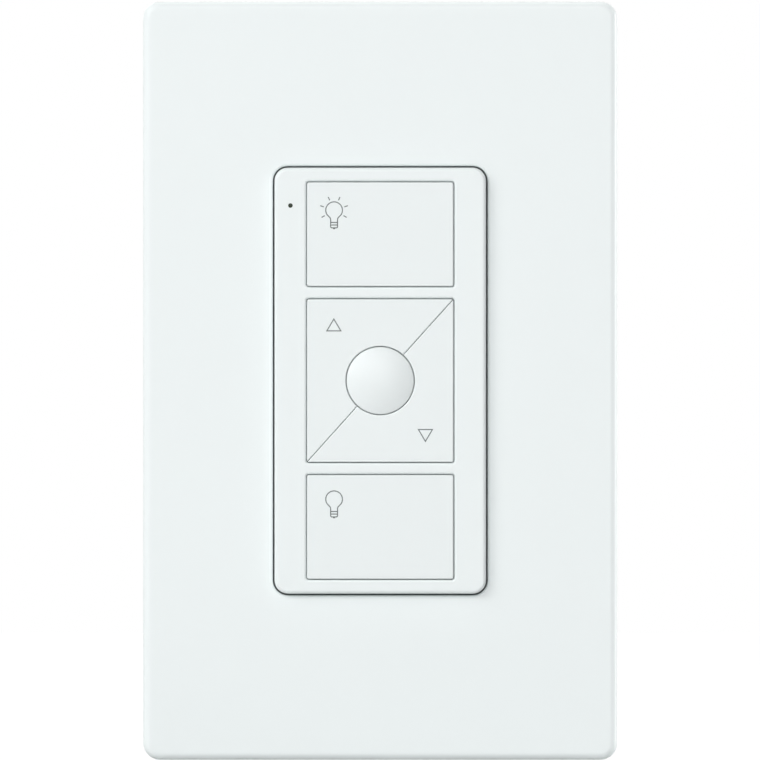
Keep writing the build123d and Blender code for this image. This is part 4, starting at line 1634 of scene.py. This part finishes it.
@dataclass
class Electronics:
    """Board with its parts, coin cell, contacts and the five domes."""

    domes: tuple[str, ...] = ("on", "raise", "favourite", "lower", "off")
    terminal: tuple[float, float, float] = (0.45 * MM, 0.2 * MM, 0.28 * MM)
    terminal_pitch: float = 0.5 * MM
    terminals_per_side: int = 8
    body_inset: float = 0.05 * MM
    chip_edge: float = 0.06 * MM
    dimple_radius: float = 0.3 * MM
    dimple_depth: float = 0.06 * MM
    dimple_from_corner: float = 0.75 * MM
    dimple_steps: int = 32
    capacitor_width: float = 0.8 * MM
    capacitor_pitch: float = 2.0 * MM
    capacitor_count: int = 5
    capacitor_end: float = 0.36 * MM
    capacitor_inset: float = 0.03 * MM
    crystal_base: float = 0.35 * MM
    crystal_step: float = 0.16 * MM
    lamp_base: float = -0.2 * MM
    lamp_step: float = 0.1 * MM
    small_edge: float = 0.04 * MM
    cell_cap_radius: float = 8.8 * MM
    cell_step: float = 0.4 * MM
    cell_edge: float = 0.3 * MM
    cell_seal: float = 0.12 * MM
    plus_length: float = 3.2 * MM
    plus_line: float = 0.5 * MM
    plus_depth: float = 0.05 * MM
    pad_gap: float = 0.06 * MM
    pad_width: float = 0.5 * MM
    pad_thickness: float = 0.03 * MM
    pad_steps: int = 64
    spare: float = 1.0 * MM

    def build(self) -> None:
        """Dress the carried-over parts and model the rest."""
        dress_node("circuit_board", Finishes.BOARD)
        dress_node("negative_contact", Finishes.SPRINGS)
        dress_node("positive_contact", Finishes.SPRINGS)
        self.chip()
        self.capacitors()
        self.crystal_and_lamp()
        self.cell()
        self.key_pads()
        for name in self.domes:
            SnapDome(name).build()

    def chip(self) -> None:
        """Model the controller's resin body with its first-pin dimple, and its rows of terminals."""
        low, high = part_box("controller_chip")
        middle = middle_of("controller_chip")
        inset = around(self.body_inset)
        body = soft_block("chip_body", low + inset, high - inset, self.chip_edge)
        place = (low.x + self.dimple_from_corner, high.z - self.dimple_from_corner)
        floor, mouth = high.y - self.dimple_depth, high.y + self.spare
        dimple = rod("dimple", place, self.dimple_radius, floor, mouth, self.dimple_steps)
        combine(body, dimple, Joinery.CUT)
        soften(body)
        seat(body, Body.FIXED, Finishes.RESIN, "chip_black", "controller_chip")
        size = Vector(self.terminal)
        first = -(self.terminals_per_side - 1) * self.terminal_pitch / 2
        corner = Vector((low.x, low.y, middle.z + first - size.z / 2))
        terminal = soft_block("terminal", corner, corner + size, self.small_edge)
        steps = [self.terminal_pitch * i for i in range(1, self.terminals_per_side)]
        row = repeat("terminals", terminal, [Matrix.Translation((0, 0, step)) for step in steps])
        about = Matrix.Translation((middle.x, 0, middle.z))
        turns = [Matrix.Rotation(math.radians(angle), 4, "Y") for angle in (90, 180, 270)]
        terminals = repeat("chip_terminals", row, [about @ turn @ about.inverted() for turn in turns])
        soften(terminals)
        seat(terminals, Body.FIXED, Finishes.CANS, "can_steel")

    def capacitors(self) -> None:
        """Model one chip capacitor as a ceramic body with two plated ends, and copy it along the row."""
        low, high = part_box("chip_capacitors")
        first_high = Vector((low.x + self.capacitor_width, high.y, high.z))
        inset = Vector((1, 1, 1)) * self.capacitor_inset
        body = soft_block("capacitor_bodies", low + inset, first_high - inset, self.small_edge)
        lower_high = Vector((first_high.x, high.y, low.z + self.capacitor_end))
        upper_low = Vector((low.x, low.y, high.z - self.capacitor_end))
        ends = gather(
            "capacitor_ends",
            [
                soft_block("end", low, lower_high, self.small_edge),
                soft_block("end", upper_low, first_high, self.small_edge),
            ],
        )
        for name, part, finish, slot in (
            ("capacitor_bodies", body, Finishes.CERAMIC, "capacitor_tan"),
            ("capacitor_ends", ends, Finishes.CANS, "can_steel"),
        ):
            steps = [self.capacitor_pitch * i for i in range(1, self.capacitor_count)]
            piece = repeat(name, part, [Matrix.Translation((step, 0, 0)) for step in steps])
            soften(piece)
            seat(piece, Body.FIXED, finish, slot, "chip_capacitors")

    def crystal_and_lamp(self) -> None:
        """Model the crystal's stepped can and the indicator's small lamp."""
        for name, node, base, step, finish, slot in (
            ("crystal_can", "crystal", self.crystal_base, self.crystal_step, Finishes.CANS, "can_steel"),
            ("lamp_body", "indicator_led", self.lamp_base, self.lamp_step, Finishes.LAMP, "lamp_clear"),
        ):
            piece = stepped_block(name, *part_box(node), base, step, self.small_edge)
            soften(piece)
            seat(piece, Body.FIXED, finish, slot, node)

    def cell(self) -> None:
        """Turn the coin cell: a can with a crimped rim, a seal groove and a raised face."""
        low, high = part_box("coin_cell")
        middle = middle_of("coin_cell")
        radius, rim, edge = (high.x - low.x) / 2, low.y + self.cell_step, self.cell_edge
        cap, seal = self.cell_cap_radius, self.cell_seal
        profile = [(0, high.y), *reversed(quarter(edge, (radius - edge, high.y - edge), 0))]
        profile += reversed(quarter(edge, (radius - edge, rim + edge), -90))
        profile += [(cap + seal, rim), (cap + seal, rim + seal), (cap, rim + seal)]
        profile += reversed(quarter(seal, (cap - seal, low.y + seal), -90))
        profile.append((0, low.y))
        can = turned("cell_can", profile, (middle.x, middle.z))
        for across, up in ((self.plus_length, self.plus_line), (self.plus_line, self.plus_length)):
            half = Vector((across / 2, 0, up / 2))
            start = Vector((middle.x, high.y - self.plus_depth, middle.z)) - half
            end = Vector((middle.x, high.y + self.spare, middle.z)) + half
            combine(can, block("plus", start, end), Joinery.CUT)
        soften(can)
        seat(can, Body.FIXED, Finishes.CELL, "cell_steel", "coin_cell")

    def key_pads(self) -> None:
        """Turn one plated ring on the board, round the foot of a dome, and copy it to the others."""
        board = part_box("circuit_board")[0].y
        low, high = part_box("snap_dome_favourite")
        inner = (high.x - low.x) / 2 + self.pad_gap
        outer, top = inner + self.pad_width, board - self.pad_thickness
        profile = [(inner, board), (outer, board), (outer, top), (inner, top), (inner, board)]
        ring = turned("pad", profile, (0, 0), self.pad_steps)
        rings = []
        for name in self.domes:
            middle = middle_of(f"snap_dome_{name}")
            rings.append(copy_by(ring, Matrix.Translation((middle.x, 0, middle.z))))
        bpy.data.objects.remove(ring)
        pads = gather("key_pads", rings)
        soften(pads)
        seat(pads, Body.FIXED, Finishes.PADS, "spring_steel")


@dataclass(frozen=True)
class SoftLamp:
    """Square lamp that looks at the middle of the object."""

    name: str
    place: tuple[float, float, float]
    size: float
    power: float

    def hang(self) -> None:
        """Add the lamp to the scene."""
        bpy.ops.object.select_all(action="DESELECT")
        bpy.ops.object.light_add(type="AREA", location=self.place)
        lamp = bpy.context.object
        lamp.name = self.name
        lamp.data.size = self.size
        lamp.data.energy = self.power
        lamp.rotation_euler = (-Vector(self.place)).to_track_quat("-Z", "Y").to_euler()


@dataclass
class Studio:
    """Pale floor, white surroundings, six soft lamps and the camera."""

    view_width: float = 119.57 * MM
    camera_distance: float = 3.0
    aim: Place = (-0.04 * MM, 0.1 * MM)
    sensor: float = 36.0
    view_depth: float = 20.0
    floor_size: float = 3.0
    floor_gap: float = 0.1 * MM
    floor_shade: float = 0.2
    floor_glow: float = 1.16
    floor_base: float = 0.6
    floor_lift: float = 0.02
    floor_roughness: float = 0.9
    surround: float = 0.05
    lamps: tuple[SoftLamp, ...] = (
        SoftLamp("key", (-1.54, -1.54, 1.12), 1.5, 31.4),
        SoftLamp("front", (0.0, -2.38, 0.94), 1.65, 27.9),
        SoftLamp("side", (1.6, 0.40, 0.15), 0.6, 19.0),
        SoftLamp("top", (0.0, 0.55, 1.55), 0.6, 7.0),
        SoftLamp("left", (-1.55, 0.55, 0.15), 0.6, 3.5),
        SoftLamp("rear", (-0.6, 1.5, 0.9), 1.2, 6.0),
    )

    def build(self) -> None:
        """Set up the floor, the light and the camera."""
        bpy.context.scene.view_settings.view_transform = "Standard"
        self.floor()
        self.world()
        for lamp in self.lamps:
            lamp.hang()
        self.camera()

    def seen_directly(self, sheet: NodeSheet) -> Socket:
        """Add a mask of the rays that show the surroundings.

        Args:
            sheet: The sheet to add it to.

        Returns:
            The socket that is 1 for camera, glossy and transmitted rays.
        """
        path = sheet.add("ShaderNodeLightPath")
        shown = sheet.sum("MAXIMUM", path.outputs["Is Camera Ray"], path.outputs["Is Glossy Ray"])
        return sheet.sum("MAXIMUM", shown, path.outputs["Is Transmission Ray"])

    def floor(self) -> None:
        """Lay a pale floor under the plate that keeps a faint shadow."""
        bpy.ops.object.select_all(action="DESELECT")
        level = cad_low.z - self.floor_gap
        bpy.ops.mesh.primitive_plane_add(size=self.floor_size, location=(0, 0, level))
        floor = settle(bpy.context.object, "floor")
        material = bpy.data.materials.new("pale_floor")
        material.use_nodes = True
        sheet = NodeSheet(material.node_tree)
        shader = sheet.tree.nodes["Principled BSDF"]
        shader.inputs["Base Color"].default_value = (*[self.floor_base] * 3, 1.0)
        shader.inputs["Emission Color"].default_value = WHITE
        shader.inputs["Emission Strength"].default_value = self.floor_lift
        shader.inputs["Roughness"].default_value = self.floor_roughness
        white = sheet.add("ShaderNodeEmission", {"Color": WHITE, "Strength": self.floor_glow})
        mix = sheet.add("ShaderNodeMixShader")
        share = sheet.sum("MULTIPLY", self.seen_directly(sheet), 1.0 - self.floor_shade)
        sheet.join(share, mix.inputs[0])
        sheet.join(shader.outputs[0], mix.inputs[1])
        sheet.join(white.outputs[0], mix.inputs[2])
        sheet.join(mix.outputs[0], sheet.tree.nodes["Material Output"].inputs["Surface"])
        floor.data.materials.append(material)

    def world(self) -> None:
        """Surround the object with an even light that looks white itself."""
        world = bpy.data.worlds.new("surround")
        world.use_nodes = True
        bpy.context.scene.world = world
        sheet = NodeSheet(world.node_tree)
        light = sheet.tree.nodes["Background"]
        light.inputs["Color"].default_value = WHITE
        extra = sheet.sum("MULTIPLY", self.seen_directly(sheet), 1.0 - self.surround)
        sheet.join(sheet.sum("ADD", extra, self.surround), light.inputs["Strength"])

    def camera(self) -> None:
        """Set the camera straight in front of the plate, with a long lens."""
        x, z = self.aim
        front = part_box("cover_plate")[0].y
        bpy.ops.object.select_all(action="DESELECT")
        place = (x, front - self.camera_distance, z)
        bpy.ops.object.camera_add(location=place, rotation=(math.pi / 2, 0, 0))
        camera = bpy.context.object
        camera.data.sensor_width = self.sensor
        camera.data.lens = self.sensor * self.camera_distance / self.view_width
        camera.data.clip_end = self.view_depth
        bpy.context.scene.camera = camera


def main() -> None:
    """Build the object's sub-assemblies in order, then the studio."""
    logging.basicConfig(level=logging.INFO, format="%(name)s %(message)s")
    WallPlate().build()
    KeypadCase().build()
    EndCap("on", Body.ON).build()
    SplitCaps("raise", Body.RAISE).build()
    RoundCap().build()
    EndCap("off", Body.OFF).build()
    for kind, (body, place) in SIGN_PLACES.items():
        PrintedSign(kind, body, place).build()
    Electronics().build()
    Studio().build()


if __name__ == "__main__":
    main()
